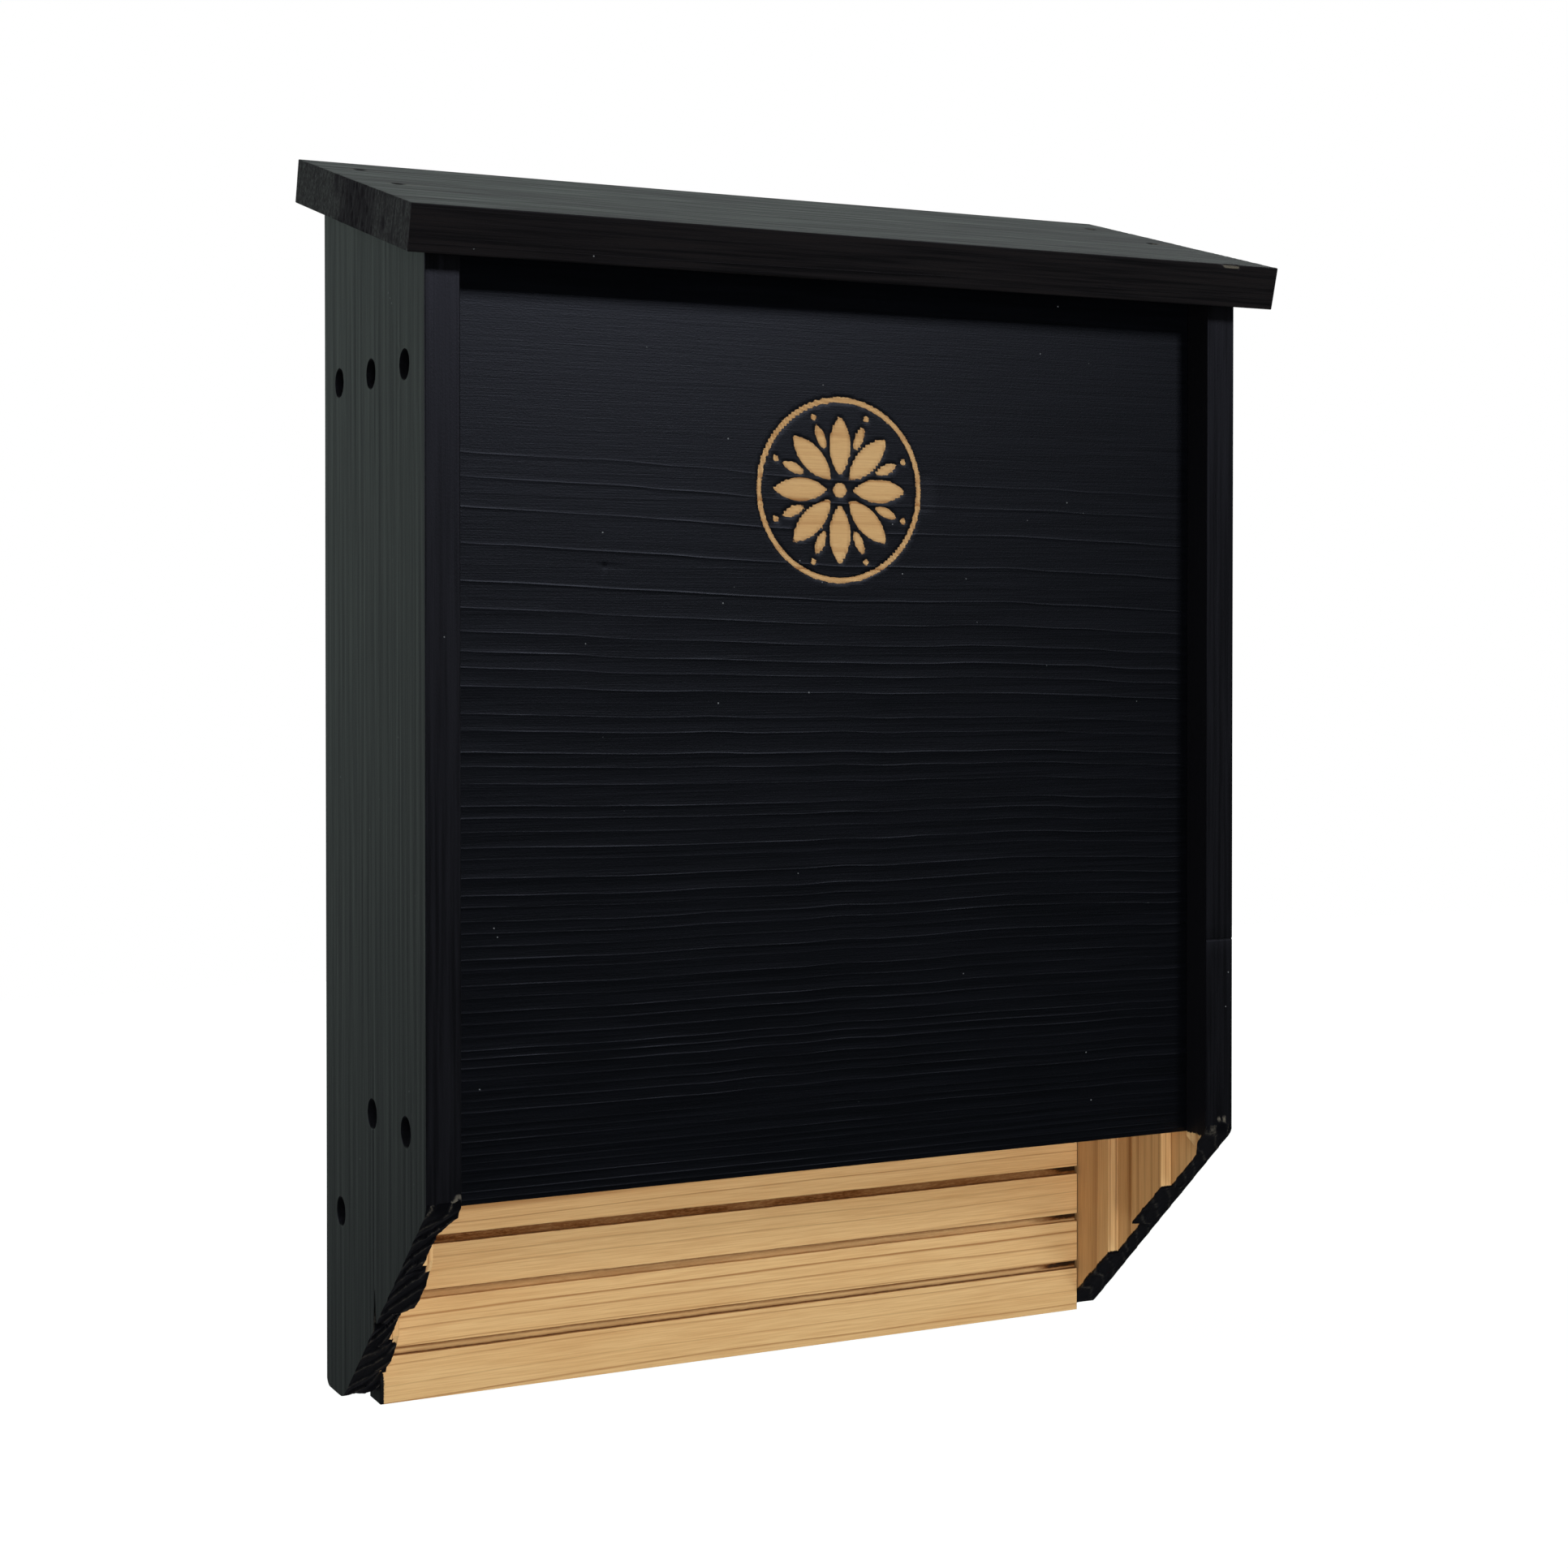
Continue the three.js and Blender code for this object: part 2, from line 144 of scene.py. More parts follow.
# Side boards: the slanted foot and the round corners of their outline
FOOT_LENGTH = 17.0
SLANT_HEIGHT = 85.7
HEEL_RADIUS = 4.0
FOOT_DROP = {"left": 2.1, "right": 0.8}
TOE_SOFTNESS = 1.2
SLANT_CORNER_RADIUS = 6.0
ARRIS = 0.4
COUNTERBORE_RADIUS = 5.0
COUNTERBORE_DEPTH = 5.0
COUNTERBORE_PROFILE = ((0.985, 1.0, 1.05), (COUNTERBORE_DEPTH, 0.3, 0.0))
WALL_STEP = 0.12
FOOT_SQUEEZE = 30.0
SCREW_ROWS = ("back", "baffle", "front")
SCREW_LEVELS = ("top", "low")

# Torn grain on the slanting cut: its strength, how far a ridge runs back across the thickness, and the widths
# of the ridges
TEAR = {"left": 1.0, "right": 0.45}
RIDGE_SLANT = 11.0
BROAD_TEAR = 7.6
FINE_TEAR = 1.9

# Chips broken off the slanting cut's inner arris, most of them behind a housing: each one's front end as a
# depth, its reach upwards and its length
CHIPS = {"left": ((82.3, 3.0, 8), (46.3, 2.6, 8), (30.0, 2.4, 6)), "right": ((70.0, 1.0, 9), (33.0, 1.0, 8))}

# How far the bevel at the inner face's foot runs forward from the front housing
BEVEL_LENGTH = {"left": 9.0, "right": 7.0}

# The split in the left board's foot, and the butt joint across the right board
SPLIT_DEPTH = 56.7
SPLIT_HEIGHT = 13.0
SPLIT_HALF_WIDTH = 1.8
JOINT_HEIGHT = 158.0

# Where the stain is rubbed off the side boards' front edges: X and height of the middle of each patch
RUBBED_PATCHES = {"left": (-147.3, 88.3), "right": (152.6, 88.8)}

# Saw kerfs that the bats climb by
KERF_PITCH = 19.05
KERF_WIDTH = 3.2
KERF_DEPTH = 1.6
LOWEST_KERF = 18.2

# How dark the three kerfs that show are, from the lowest up, and as the third one those above: the floor,
# brown from the saw and painted shade, deepest in the upper kerf under the front board; its upper and its
# lower corner, painted shade; and the cut's end where it meets the right side board, painted shade. 0 is
# clean, 0.9 brown and 1.2 burnt, which is also the deepest painted shade
KERF_BURN_AND_SHADE = ((0.26, 1.05, 1.2, 1.25), (0.4, 1.0, 0.3, 1.2), (0.93, 1.1, 1.0, 1.3))

# The hanger's pocket in the back board
POCKET_DEPTH = 7.0
POCKET_HALF_WIDTH = 7.5
POCKET_HALF_HEIGHT = 11.5

# Raised growth rings on the front board, narrow at its foot and wide towards its top
RING_NARROW = 3.4
RING_WIDE = 13.0
RING_GROWTH = 2.2
RING_TOP = 334.0
RIDGE_HEIGHT = 0.12

# A pin knot in the front board, by X and height
PIN_KNOT = (-90.4, 294.7)

# The roof: its slope, the way out of its top, the sunk holes over its nails, and a chip in its front edge
ROOF_SLOPE = math.radians(15)
OUT_OF_ROOF = (0, -math.sin(ROOF_SLOPE), math.cos(ROOF_SLOPE))
NAIL_HOLE_RADIUS = 2.2
NAIL_HOLE_PROFILE = ((0.96, 1.0, 1.2), (1.75, 0.25, 0.0))
ROOF_CHIP_X = 146.0

# The engraved ornament on the front board: an eight-petalled rosette in a ring
ORNAMENT_X = -1.4
ORNAMENT_HEIGHT = 322.0
ORNAMENT_REACH = 33.4
ORNAMENT_STEP = 1.0
RING_RADIUS = 31.5
RING_HALF_WIDTH = 0.9
ROSETTE_EYE = 2.6
PETALS = 8
ENGRAVING_DEPTH = 0.3

# Fasteners: the head's radius and height, the shank's radius, the point's length and the thread's pitch
SIDE_SCREW = (4.0, 2.2, 2.0, 6.0, 1.8)
PLATE_SCREW = (3.2, 1.8, 1.5, 3.0, 1.1)
ROOF_NAIL = (1.9, 1.2, 1.1, 4.0, 0)


def box(node):
    """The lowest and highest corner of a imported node, in mm."""
    low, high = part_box(node)
    return np.array(low) / MM, np.array(high) / MM


FOOT = box("back_panel")[0][2]
SIDE_DEPTH = -box("side_panel_left")[0][1]
SLANT = SLANT_HEIGHT / (SIDE_DEPTH - FOOT_LENGTH)
INNER_X = -box("side_panel_left")[1][0]
OUTER_X = -box("side_panel_left")[0][0]
FIT_GAP = INNER_X - box("back_panel")[1][0]
HOUSING_DEPTH = box("front_panel")[1][0] + FIT_GAP - INNER_X


def depths(node):
    """A board's rear and front faces, as distances in front of the wall."""
    low, high = box(node)
    return -high[1], -low[1]


def node_middle(node):
    """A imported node's middle, as a depth and a height."""
    _, y, z = sum(box(node)) / 2
    return -y, z - FOOT


def value_noise(a, b, cell_a, cell_b, seed):
    """Smooth noise from -1 to 1: random values on a lattice of cells in mm, eased between its corners."""
    size = 256
    lattice = np.random.default_rng(seed).uniform(-1, 1, (size, size))
    s, t = a / cell_a, b / cell_b
    i, j = np.floor(s).astype(int), np.floor(t).astype(int)
    f, g = s - i, t - j
    f, g = f * f * (3 - 2 * f), g * g * (3 - 2 * g)
    near = lattice[i % size, j % size] * (1 - f) + lattice[(i + 1) % size, j % size] * f
    far = lattice[i % size, (j + 1) % size] * (1 - f) + lattice[(i + 1) % size, (j + 1) % size] * f
    return near * (1 - g) + far * g


def bump(distance, width):
    """A bell from 1 at no distance to 0: e to the minus square of distance over width."""
    return np.exp(-((distance / width) ** 2))


def ease(value, low, high):
    """0 below low and 1 above high, with an S curve between."""
    t = np.clip((value - low) / (high - low), 0, 1)
    return t * t * (3 - 2 * t)


def patch(a, b, centre, half_a, half_b):
    """1 inside a rectangle round a centre, fading to 0 a little beyond its half sizes."""
    away = np.maximum(np.abs(a - centre[0]) / half_a, np.abs(b - centre[1]) / half_b)
    return 1 - ease(away, 0.75, 1.15)


def both_ways(values):
    """The values and their negatives, in order."""
    return np.unique(np.concatenate([-np.array(values), values]))


def nearest(values, places):
    """The number of each value's nearest place, and how far the value lies above it."""
    away = values[:, None] - places[None, :]
    number = np.abs(away).argmin(1)
    return number, away[np.arange(len(values)), number]


def lines(low, high, step, radius=0.0, marks=()):
    """Sample lines from low to high: even steps, closer lines over each rounded edge, and the marks. An even
    line too near a mark is left out."""
    edge = radius * np.tan(np.radians([0, 15, 30, 45]))
    fixed = np.concatenate([low + radius - edge, high - radius + edge, [low, high], np.asarray(marks, float)])
    fixed = fixed[(fixed >= low) & (fixed <= high)]
    even = np.linspace(low, high, max(2, round((high - low) / step) + 1))
    away = np.abs(nearest(even, fixed)[1]) > step * 0.35
    return np.unique(np.round(np.concatenate([even[away], fixed]), 4))


def shell(us, vs, ws):
    """The closed surface of a block as points and quads. us, vs and ws are the sample lines along X, Y and Z.
    Each of the six faces is a grid on two of them, wound to face outwards, and shares its edges' points."""
    axes = (us, vs, ws)
    points, quads, start = [], [], 0
    for axis in range(3):
        a, b = axes[(axis + 1) % 3], axes[(axis + 2) % 3]
        for end in (0, -1):
            grid = np.empty((len(a), len(b), 3))
            grid[..., axis] = axes[axis][end]
            grid[..., (axis + 1) % 3] = a[:, None]
            grid[..., (axis + 2) % 3] = b[None, :]
            index = start + np.arange(len(a) * len(b)).reshape(len(a), len(b))
            corners = [index[:-1, :-1], index[1:, :-1], index[1:, 1:], index[:-1, 1:]]
            if end == 0:
                corners.reverse()
            points.append(grid.reshape(-1, 3))
            quads.append(np.stack(corners, -1).reshape(-1, 4))
            start += len(a) * len(b)
    points, place = np.unique(np.round(np.concatenate(points), 4), axis=0, return_inverse=True)
    return points, place.reshape(-1)[np.concatenate(quads)]


def soften(points, low, high, radius):
    """Rounds a block's edges: a point keeps its direction from a block smaller by radius, at that radius."""
    core = np.clip(points, np.array(low) + radius, np.array(high) - radius)
    away = points - core
    return core + away * (radius / np.maximum(np.linalg.norm(away, axis=1, keepdims=True), 1e-9))


def block(low, high, steps, radius, marks):
    """A block with rounded edges: its square points, the same points rounded, and its quads. Steps and marks
    are those of the sample lines along X, Y and Z."""
    points, quads = shell(*[lines(*sizes) for sizes in zip(low, high, steps, [radius] * 3, marks)])
    return points, soften(points, low, high, radius), quads


def on_face(points, axis, place):
    """Which of a block's points lie on its face at a place along an axis."""
    return np.abs(points[:, axis] - place) < 0.001


def drill(a, b, centres, radius, profile, face):
    """Turns a face's square grid into circles round its holes: near a centre a point keeps the larger of its
    two offsets from there as its radius, so the hole's wall is a true circle. Also gives how deep each point
    is sunk, by a profile of depths at shares of the radius."""
    sunk = np.zeros(len(a))
    for centre_a, centre_b in centres:
        off_a, off_b = a - centre_a, b - centre_b
        ring = np.maximum(np.abs(off_a), np.abs(off_b))
        turn = (1 - ease(ring / radius, 1.1, 1.6)) * face
        scale = 1 + turn * (ring / np.maximum(np.hypot(off_a, off_b), 1e-9) - 1)
        a, b = centre_a + off_a * scale, centre_b + off_b * scale
        sunk += np.where(face, np.interp(ring / radius, *profile), 0)
    return a, b, sunk


def make_mesh(name, points, quads, triangles=np.empty((0, 3), int), **values):
    """A mesh from points in mm, with a number at each point for each named value."""
    mesh = bpy.data.meshes.new(name)
    corners = np.concatenate([quads.ravel(), triangles.ravel()])
    counts = np.concatenate([np.full(len(quads), 4), np.full(len(triangles), 3)])
    mesh.vertices.add(len(points))
    mesh.vertices.foreach_set("co", (points * MM).ravel())
    mesh.loops.add(len(corners))
    mesh.loops.foreach_set("vertex_index", corners)
    mesh.polygons.add(len(counts))
    mesh.polygons.foreach_set("loop_start", np.concatenate([[0], np.cumsum(counts)[:-1]]))
    mesh.update(calc_edges=True)
    for key, numbers in values.items():
        mesh.attributes.new(key, "FLOAT", "POINT").data.foreach_set("value", numbers)
    return mesh


def new_object(name, data):
    """Adds an object to the scene."""
    made = bpy.data.objects.new(name, data)
    bpy.context.scene.collection.objects.link(made)
    return made


def put(mesh, material, nodes, sharp_angle=40):
    """Makes a piece of the object from a mesh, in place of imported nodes, shaded smooth up to an angle."""
    mesh.polygons.foreach_set("use_smooth", np.ones(len(mesh.polygons), bool))
    mesh.set_sharp_from_angle(angle=math.radians(sharp_angle))
    mesh.materials.append(material)
    piece = new_object(mesh.name, mesh)
    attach(piece, "root")
    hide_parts(*nodes)
    return piece


# Studio


def add(tree, kind, inputs=(), **settings):
    """Adds a shader node of a kind. Settings are its properties. Inputs gives its sockets, by key or as a
    list from the first, a value, or an output or a node to link, and a node is linked by its first output in
    use. The list for a MapRange is its value, the two levels that it runs between, and what it gives at
    them."""
    node = tree.nodes.new("ShaderNode" + kind)
    for key, value in settings.items():
        setattr(node, key, value)
    inputs = inputs if isinstance(inputs, dict) else dict(enumerate(inputs))
    for key, value in inputs.items():
        if isinstance(value, bpy.types.Node):
            value = next(output for output in value.outputs if output.enabled)
        if isinstance(value, bpy.types.NodeSocket):
            tree.links.new(value, node.inputs[key])
        else:
            node.inputs[key].default_value = value
    return node


def linear(code):
    """The linear colour of an sRGB hex value."""
    values = np.array([int(code[i : i + 2], 16) for i in (1, 3, 5)]) / 255
    values = np.where(values <= 0.04045, values / 12.92, ((values + 0.055) / 1.055) ** 2.4)
    return (*values.tolist(), 1.0)


def material_tree(name):
    """A new material and its empty node tree."""
    material = bpy.data.materials.new(name)
    material.use_nodes = True
    material.node_tree.nodes.clear()
    return material, material.node_tree


def make_camera():
    data = bpy.data.cameras.new("camera")
    data.lens = CAMERA_LENS
    data.sensor_width = 36
    data.shift_y = CAMERA_SHIFT_Y
    camera = new_object("camera", data)
    camera.location = CAMERA_PLACE
    aim = Vector(CAMERA_AIM) - Vector(CAMERA_PLACE)
    camera.rotation_euler = aim.to_track_quat("-Z", "Y").to_euler()
    bpy.context.scene.camera = camera


def make_lamp(name, azimuth, elevation, distance, width, height, power):
    """A soft box that looks at the object from an azimuth and elevation, in degrees, metres and watts.
    Azimuth 0 is in front of the object and 90 is on its right."""
    a, e = math.radians(azimuth), math.radians(elevation)
    away = Vector((math.sin(a) * math.cos(e), -math.cos(a) * math.cos(e), math.sin(e)))
    data = bpy.data.lights.new(name, "AREA")
    data.shape = "RECTANGLE"
    data.size = width
    data.size_y = height
    data.energy = power
    lamp = new_object(name, data)
    lamp.location = Vector(LAMP_AIM) + away * distance
    lamp.rotation_euler = (-away).to_track_quat("-Z", "Y").to_euler()
    return lamp


def see_white(tree, direction):
    """How white the studio looks in a direction from the object: fully to the camera, and to reflections
    where they look at the backdrop, which stands behind the object and is lit from above."""
    path = add(tree, "LightPath")
    towards = add(tree, "VectorMath", [direction, BACKDROP_DIRECTION], operation="DOT_PRODUCT")
    behind = add(tree, "MapRange", [towards, *BACKDROP_FADE], interpolation_type="SMOOTHSTEP")
    mirrored = add(tree, "Math", [path.outputs["Is Glossy Ray"], path.outputs["Is Transmission Ray"]],
                   operation="MAXIMUM")
    mirrored = add(tree, "Math", [mirrored, behind], operation="MULTIPLY")
    return add(tree, "Math", [path.outputs["Is Camera Ray"], mirrored], operation="MAXIMUM")


def make_floor():
    """A pale floor well below the hanging box, which takes its shadow. A little light of its own brings it up
    to the backdrop's white, the more the farther it lies from the lamps. The stain mirrors the room in its
    place, because the photographed box hangs clear of any floor."""
    material, tree = material_tree("studio_floor")
    place = add(tree, "TexCoord").outputs["Object"]
    direction = add(tree, "VectorMath", [place], operation="NORMALIZE")
    white = see_white(tree, direction)
    paper = add(tree, "BsdfDiffuse", {"Color": linear(FLOOR_PAPER)})
    radius = add(tree, "VectorMath", [place], operation="LENGTH")
    share = add(tree, "MapRange", [radius, *FLOOR_FADE, FLOOR_GLOW])
    glow = add(tree, "Math", [white, share], operation="MULTIPLY")
    light = add(tree, "Emission", {"Strength": glow})
    both = add(tree, "AddShader", [paper, light])
    add(tree, "OutputMaterial", {"Surface": both})
    corners = np.array([[-1, -1, 0], [1, -1, 0], [1, 1, 0], [-1, 1, 0]]) * FLOOR_REACH
    mesh = make_mesh("studio_floor", corners + [0, 0, FOOT - FLOOR_DROP], np.array([[0, 1, 2, 3]]))
    mesh.materials.append(material)
    floor = new_object("studio_floor", mesh)
    floor.visible_glossy = False


def make_world():
    """A white backdrop behind the object and a dim room in front of it."""
    world = bpy.data.worlds.new("studio")
    bpy.context.scene.world = world
    world.use_nodes = True
    tree = world.node_tree
    tree.nodes.clear()
    white = see_white(tree, add(tree, "TexCoord").outputs["Generated"])
    path = add(tree, "LightPath")
    room = add(tree, "Mix", {0: path.outputs["Is Glossy Ray"], 2: ROOM_LIGHT, 3: ROOM_REFLECTED})
    level = add(tree, "Mix", {0: white, 2: room, 3: 1.0})
    colour = add(tree, "Mix", {0: path.outputs["Is Camera Ray"], 6: linear(BACKDROP_REFLECTED),
                               7: (1, 1, 1, 1)}, data_type="RGBA")
    back = add(tree, "Background", {"Color": colour, "Strength": level})
    add(tree, "OutputWorld", {"Surface": back})


def make_studio():
    """White backdrop, pale floor, a soft key from above the front right, and a broad low fill for the bare
    wood under the front board. A rear lamp lights the back, and two side lamps a little behind the box light
    one side each. The stain mirrors neither the fill nor the rear lamp."""
    lamps = {name: make_lamp(name, *place) for name, place in LAMPS.items()}
    lamps["fill_lamp"].visible_glossy = lamps["rear_lamp"].visible_glossy = False
    make_floor()
    make_world()
    bpy.context.scene.view_settings.view_transform = "Standard"


# Materials


def wood(name, grain, pith, ring_width, late_share, ring_relief, shades, tint, satin):
    """Pine board, saw-cut and planed, with a black water stain brushed on where the mesh's stain value is 1.

    Growth rings are cylinders round the pith, so they show as lines on the faces and as arcs on the ends.
    Each goes from pale early wood to a narrow brown band of late wood that ends sharply. Fine fibres run
    along the grain. The stain covers the colour, leaves the fibres as a low relief and dries to a dull satin.
    It soaks into torn and end grain, which turns flat black, and rubs off to a greyish brown. The flat black
    is also painted shade in counterbores and recesses, the greyish brown also a painted highlight on torn
    ridges, and the kerfs' brown and burnt colours also carry painted shade."""
    along, across, thick = grain
    material, tree = material_tree(name)
    position = add(tree, "TexCoord").outputs["Object"]
    parts = add(tree, "SeparateXYZ", [position])
    noise = {}
    for key, (along_cell, across_cell, detail, roughness) in GRAIN_NOISE.items():
        cell = {along: along_cell, across: across_cell, thick: across_cell}
        scale = [1 / (cell[axis] * MM) for axis in "XYZ"]
        stretched = add(tree, "Mapping", {"Vector": position, "Scale": scale})
        noise[key] = add(tree, "TexNoise", {"Vector": stretched, "Scale": 1.0, "Detail": detail,
                                            "Roughness": roughness})
    share = {}
    for key, (source, *levels) in GRAIN_SHARES.items():
        share[key] = add(tree, "MapRange", [noise[source], *levels], interpolation_type="SMOOTHSTEP")
    value = {}
    for key in ("stain", "burn_and_shade", "soak_and_shade", "rub_and_highlight"):
        value[key] = add(tree, "Attribute", attribute_name=key).outputs["Fac"]

    # Growth rings
    wander = add(tree, "Math", [noise["wander"], 2 * RING_WANDER * MM, -RING_WANDER * MM],
                 operation="MULTIPLY_ADD")
    sideways = add(tree, "Math", [parts.outputs[across], pith[0] * MM], operation="SUBTRACT")
    sideways = add(tree, "Math", [sideways, wander], operation="ADD")
    inwards = add(tree, "Math", [parts.outputs[thick], pith[1] * MM], operation="SUBTRACT")
    centred = add(tree, "CombineXYZ", [sideways, inwards])
    radius = add(tree, "VectorMath", [centred], operation="LENGTH")
    uneven = add(tree, "TexNoise", {"W": radius, "Scale": 1 / (RING_UNEVEN_CELL * MM), "Detail": 1.0},
                 noise_dimensions="1D")
    count = add(tree, "Math", [radius, ring_width * MM], operation="DIVIDE")
    phase = add(tree, "Math", [uneven, RING_UNEVENNESS, count], operation="MULTIPLY_ADD")
    ring = add(tree, "Math", [phase], operation="FRACT")
    number = add(tree, "Math", [phase], operation="FLOOR")
    random = add(tree, "TexWhiteNoise", {"W": number}, noise_dimensions="1D")
    strength = add(tree, "MapRange", [random, 0, 1, 0.3])
    rise = add(tree, "MapRange", [ring, 1 - late_share, 0.95], interpolation_type="SMOOTHSTEP")
    fall = add(tree, "MapRange", [ring, 1.0, 0.96], interpolation_type="SMOOTHSTEP")
    late = add(tree, "Math", [rise, fall], operation="MULTIPLY")
    late = add(tree, "Math", [late, strength], operation="MULTIPLY")

    # Bare pine, brown and burnt in the kerfs and the engraved ornament, which in the kerfs is also painted
    # shade
    brown_and_shade = add(tree, "Math", [value["burn_and_shade"], share["fuzzy"]], operation="MULTIPLY")
    burnt_and_shade = add(tree, "MapRange", [brown_and_shade, *BURNT_AND_SHADED_TONES], interpolation_type="SMOOTHSTEP")
    pine = linear(EARLY_WOOD)
    layers = ((late, LATE_WOOD, "MIX"), (share["blotched"], WARM_WOOD, "MIX"),
              (share["fibrous"], FIBRE_WOOD, "MULTIPLY"), (brown_and_shade, BROWNED_AND_SHADED_WOOD, "MIX"),
              (burnt_and_shade, BURNT_AND_SHADED_WOOD, "MIX"))
    for amount, shade, blend in layers:
        pine = add(tree, "Mix", {0: amount, 6: pine, 7: linear(shade)}, data_type="RGBA", blend_type=blend)

    # The stain, which ends in a ragged line
    ragged = add(tree, "Math", [noise["speckle"], STAIN_RAGGEDNESS, -STAIN_RAGGEDNESS / 2],
                 operation="MULTIPLY_ADD")
    edge = add(tree, "Math", [value["stain"], ragged], operation="ADD")
    covered = add(tree, "MapRange", [edge, 0.4, 0.6], interpolation_type="SMOOTHSTEP")
    edge = add(tree, "Math", [value["rub_and_highlight"], ragged], operation="ADD")
    rubbed_and_highlit = add(tree, "MapRange", [edge, 0.3, 0.8, 0, 0.75], interpolation_type="SMOOTHSTEP")
    cells = add(tree, "TexVoronoi", {"Vector": position, "Scale": 1 / (DUST_CELL * MM)})
    dusty = add(tree, "MapRange", [cells, 0.03, 0.015, 0, 0.6])
    # Over the stain: streaks, dust, flat black, also painted shade, and greyish brown, also a painted
    # highlight
    stain = linear(shades[0])
    layers = ((share["streaked"], shades[1]), (dusty, DUST), (value["soak_and_shade"], SOAKED_STAIN_AND_SHADE),
              (rubbed_and_highlit, RUBBED_STAIN_AND_HIGHLIGHT))
    for amount, shade in layers:
        stain = add(tree, "Mix", {0: amount, 6: stain, 7: linear(shade)}, data_type="RGBA")
    colour = add(tree, "Mix", {0: covered, 6: pine, 7: stain}, data_type="RGBA")

    gloss = add(tree, "MapRange", [share["streaked"], 0, 1, *satin])
    flat = add(tree, "Math", [value["soak_and_shade"], rubbed_and_highlit], operation="MAXIMUM")
    rough = add(tree, "Mix", {0: flat, 2: gloss, 3: 0.9})
    rough = add(tree, "Mix", {0: covered, 2: 0.72, 3: rough})
    relief = add(tree, "Math", [late, ring_relief, noise["fibre"]], operation="MULTIPLY_ADD")
    relief = add(tree, "Math", [noise["speckle"], 0.7, relief], operation="MULTIPLY_ADD")
    height = add(tree, "Bump", {"Height": relief, "Strength": 0.5, "Distance": 0.08 * MM})
    shader = add(tree, "BsdfPrincipled", {"Base Color": colour, "Roughness": rough, "Normal": height,
                                          "IOR": 1.5, "Specular IOR Level": 0.36,
                                          "Specular Tint": linear(tint), "Sheen Weight": 0.03,
                                          "Sheen Roughness": 0.5, "Sheen Tint": linear("#e4e0f0")})
    add(tree, "OutputMaterial", {"Surface": shader})
    return material


def zinc_plate(name, stained):
    """Steel, cold formed and zinc plated: a bright bluish skin, a little uneven, with faint cloudy patches.
    Where it is stained, the black lies on it as a dull film that is thin on the high spots."""
    material, tree = material_tree(name)
    position = add(tree, "TexCoord").outputs["Object"]
    cloud = add(tree, "TexNoise", {"Vector": position, "Scale": 1 / (2.5 * MM), "Detail": 3.0})
    grit = add(tree, "TexNoise", {"Vector": position, "Scale": 1 / (0.25 * MM), "Detail": 2.0})
    film = add(tree, "MapRange", [cloud, 0.66, 0.56, 0, stained], interpolation_type="SMOOTHSTEP")
    metal = add(tree, "Math", [1.0, film], operation="SUBTRACT")
    zinc = add(tree, "Mix", {0: cloud, 6: linear(ZINC[0]), 7: linear(ZINC[1])}, data_type="RGBA")
    colour = add(tree, "Mix", {0: film, 6: zinc, 7: linear(STAINED_ZINC)}, data_type="RGBA")
    rough = add(tree, "MapRange", [cloud, 0, 1, 0.24, 0.46])
    rough = add(tree, "Mix", {0: film, 2: rough, 3: 0.8})
    height = add(tree, "Bump", {"Height": grit, "Strength": 0.25, "Distance": 0.03 * MM})
    shader = add(tree, "BsdfPrincipled", {"Base Color": colour, "Metallic": metal, "Roughness": rough,
                                          "Normal": height})
    add(tree, "OutputMaterial", {"Surface": shader})
    return material


def stained_nail():
    """Steel nail head under the roof's black stain, which lies thin, so worn spots let grey steel through."""
    material, tree = material_tree("stained_over_steel")
    position = add(tree, "TexCoord").outputs["Object"]
    wear = add(tree, "TexNoise", {"Vector": position, "Scale": 1 / (0.8 * MM), "Detail": 3.0})
    worn = add(tree, "MapRange", [wear, 0.5, 0.66], interpolation_type="SMOOTHSTEP")
    colour = add(tree, "Mix", {0: worn, 6: linear(NAIL_STAIN), 7: linear(WORN_NAIL)}, data_type="RGBA")
    height = add(tree, "Bump", {"Height": wear, "Strength": 0.3, "Distance": 0.1 * MM})
    shader = add(tree, "BsdfPrincipled", {"Base Color": colour, "Roughness": 0.5, "Normal": height})
    add(tree, "OutputMaterial", {"Surface": shader})
    return material


# Boards


def roof_frame():
    """The roof board's length, thickness and top front edge, solved from its box: its extent along Y is
    length times cosine plus thickness times sine of the slope, and along Z the other way round."""
    low, high = box("roof_board")
    c, s = math.cos(ROOF_SLOPE), math.sin(ROOF_SLOPE)
    length, thickness = np.linalg.solve([[c, s], [s, c]], (high - low)[1:])
    return length, thickness, low[1], low[2] + thickness * c


ROOF_LENGTH, ROOF_THICKNESS, ROOF_FRONT_Y, ROOF_FRONT_Z = roof_frame()


def board_top(depth):
    """Height of a board that ends just under the sloping roof, at a depth."""
    top = ROOF_FRONT_Z - FOOT + (-ROOF_FRONT_Y - depth) * math.tan(ROOF_SLOPE)
    return top - (ROOF_THICKNESS + FIT_GAP) / math.cos(ROOF_SLOPE)


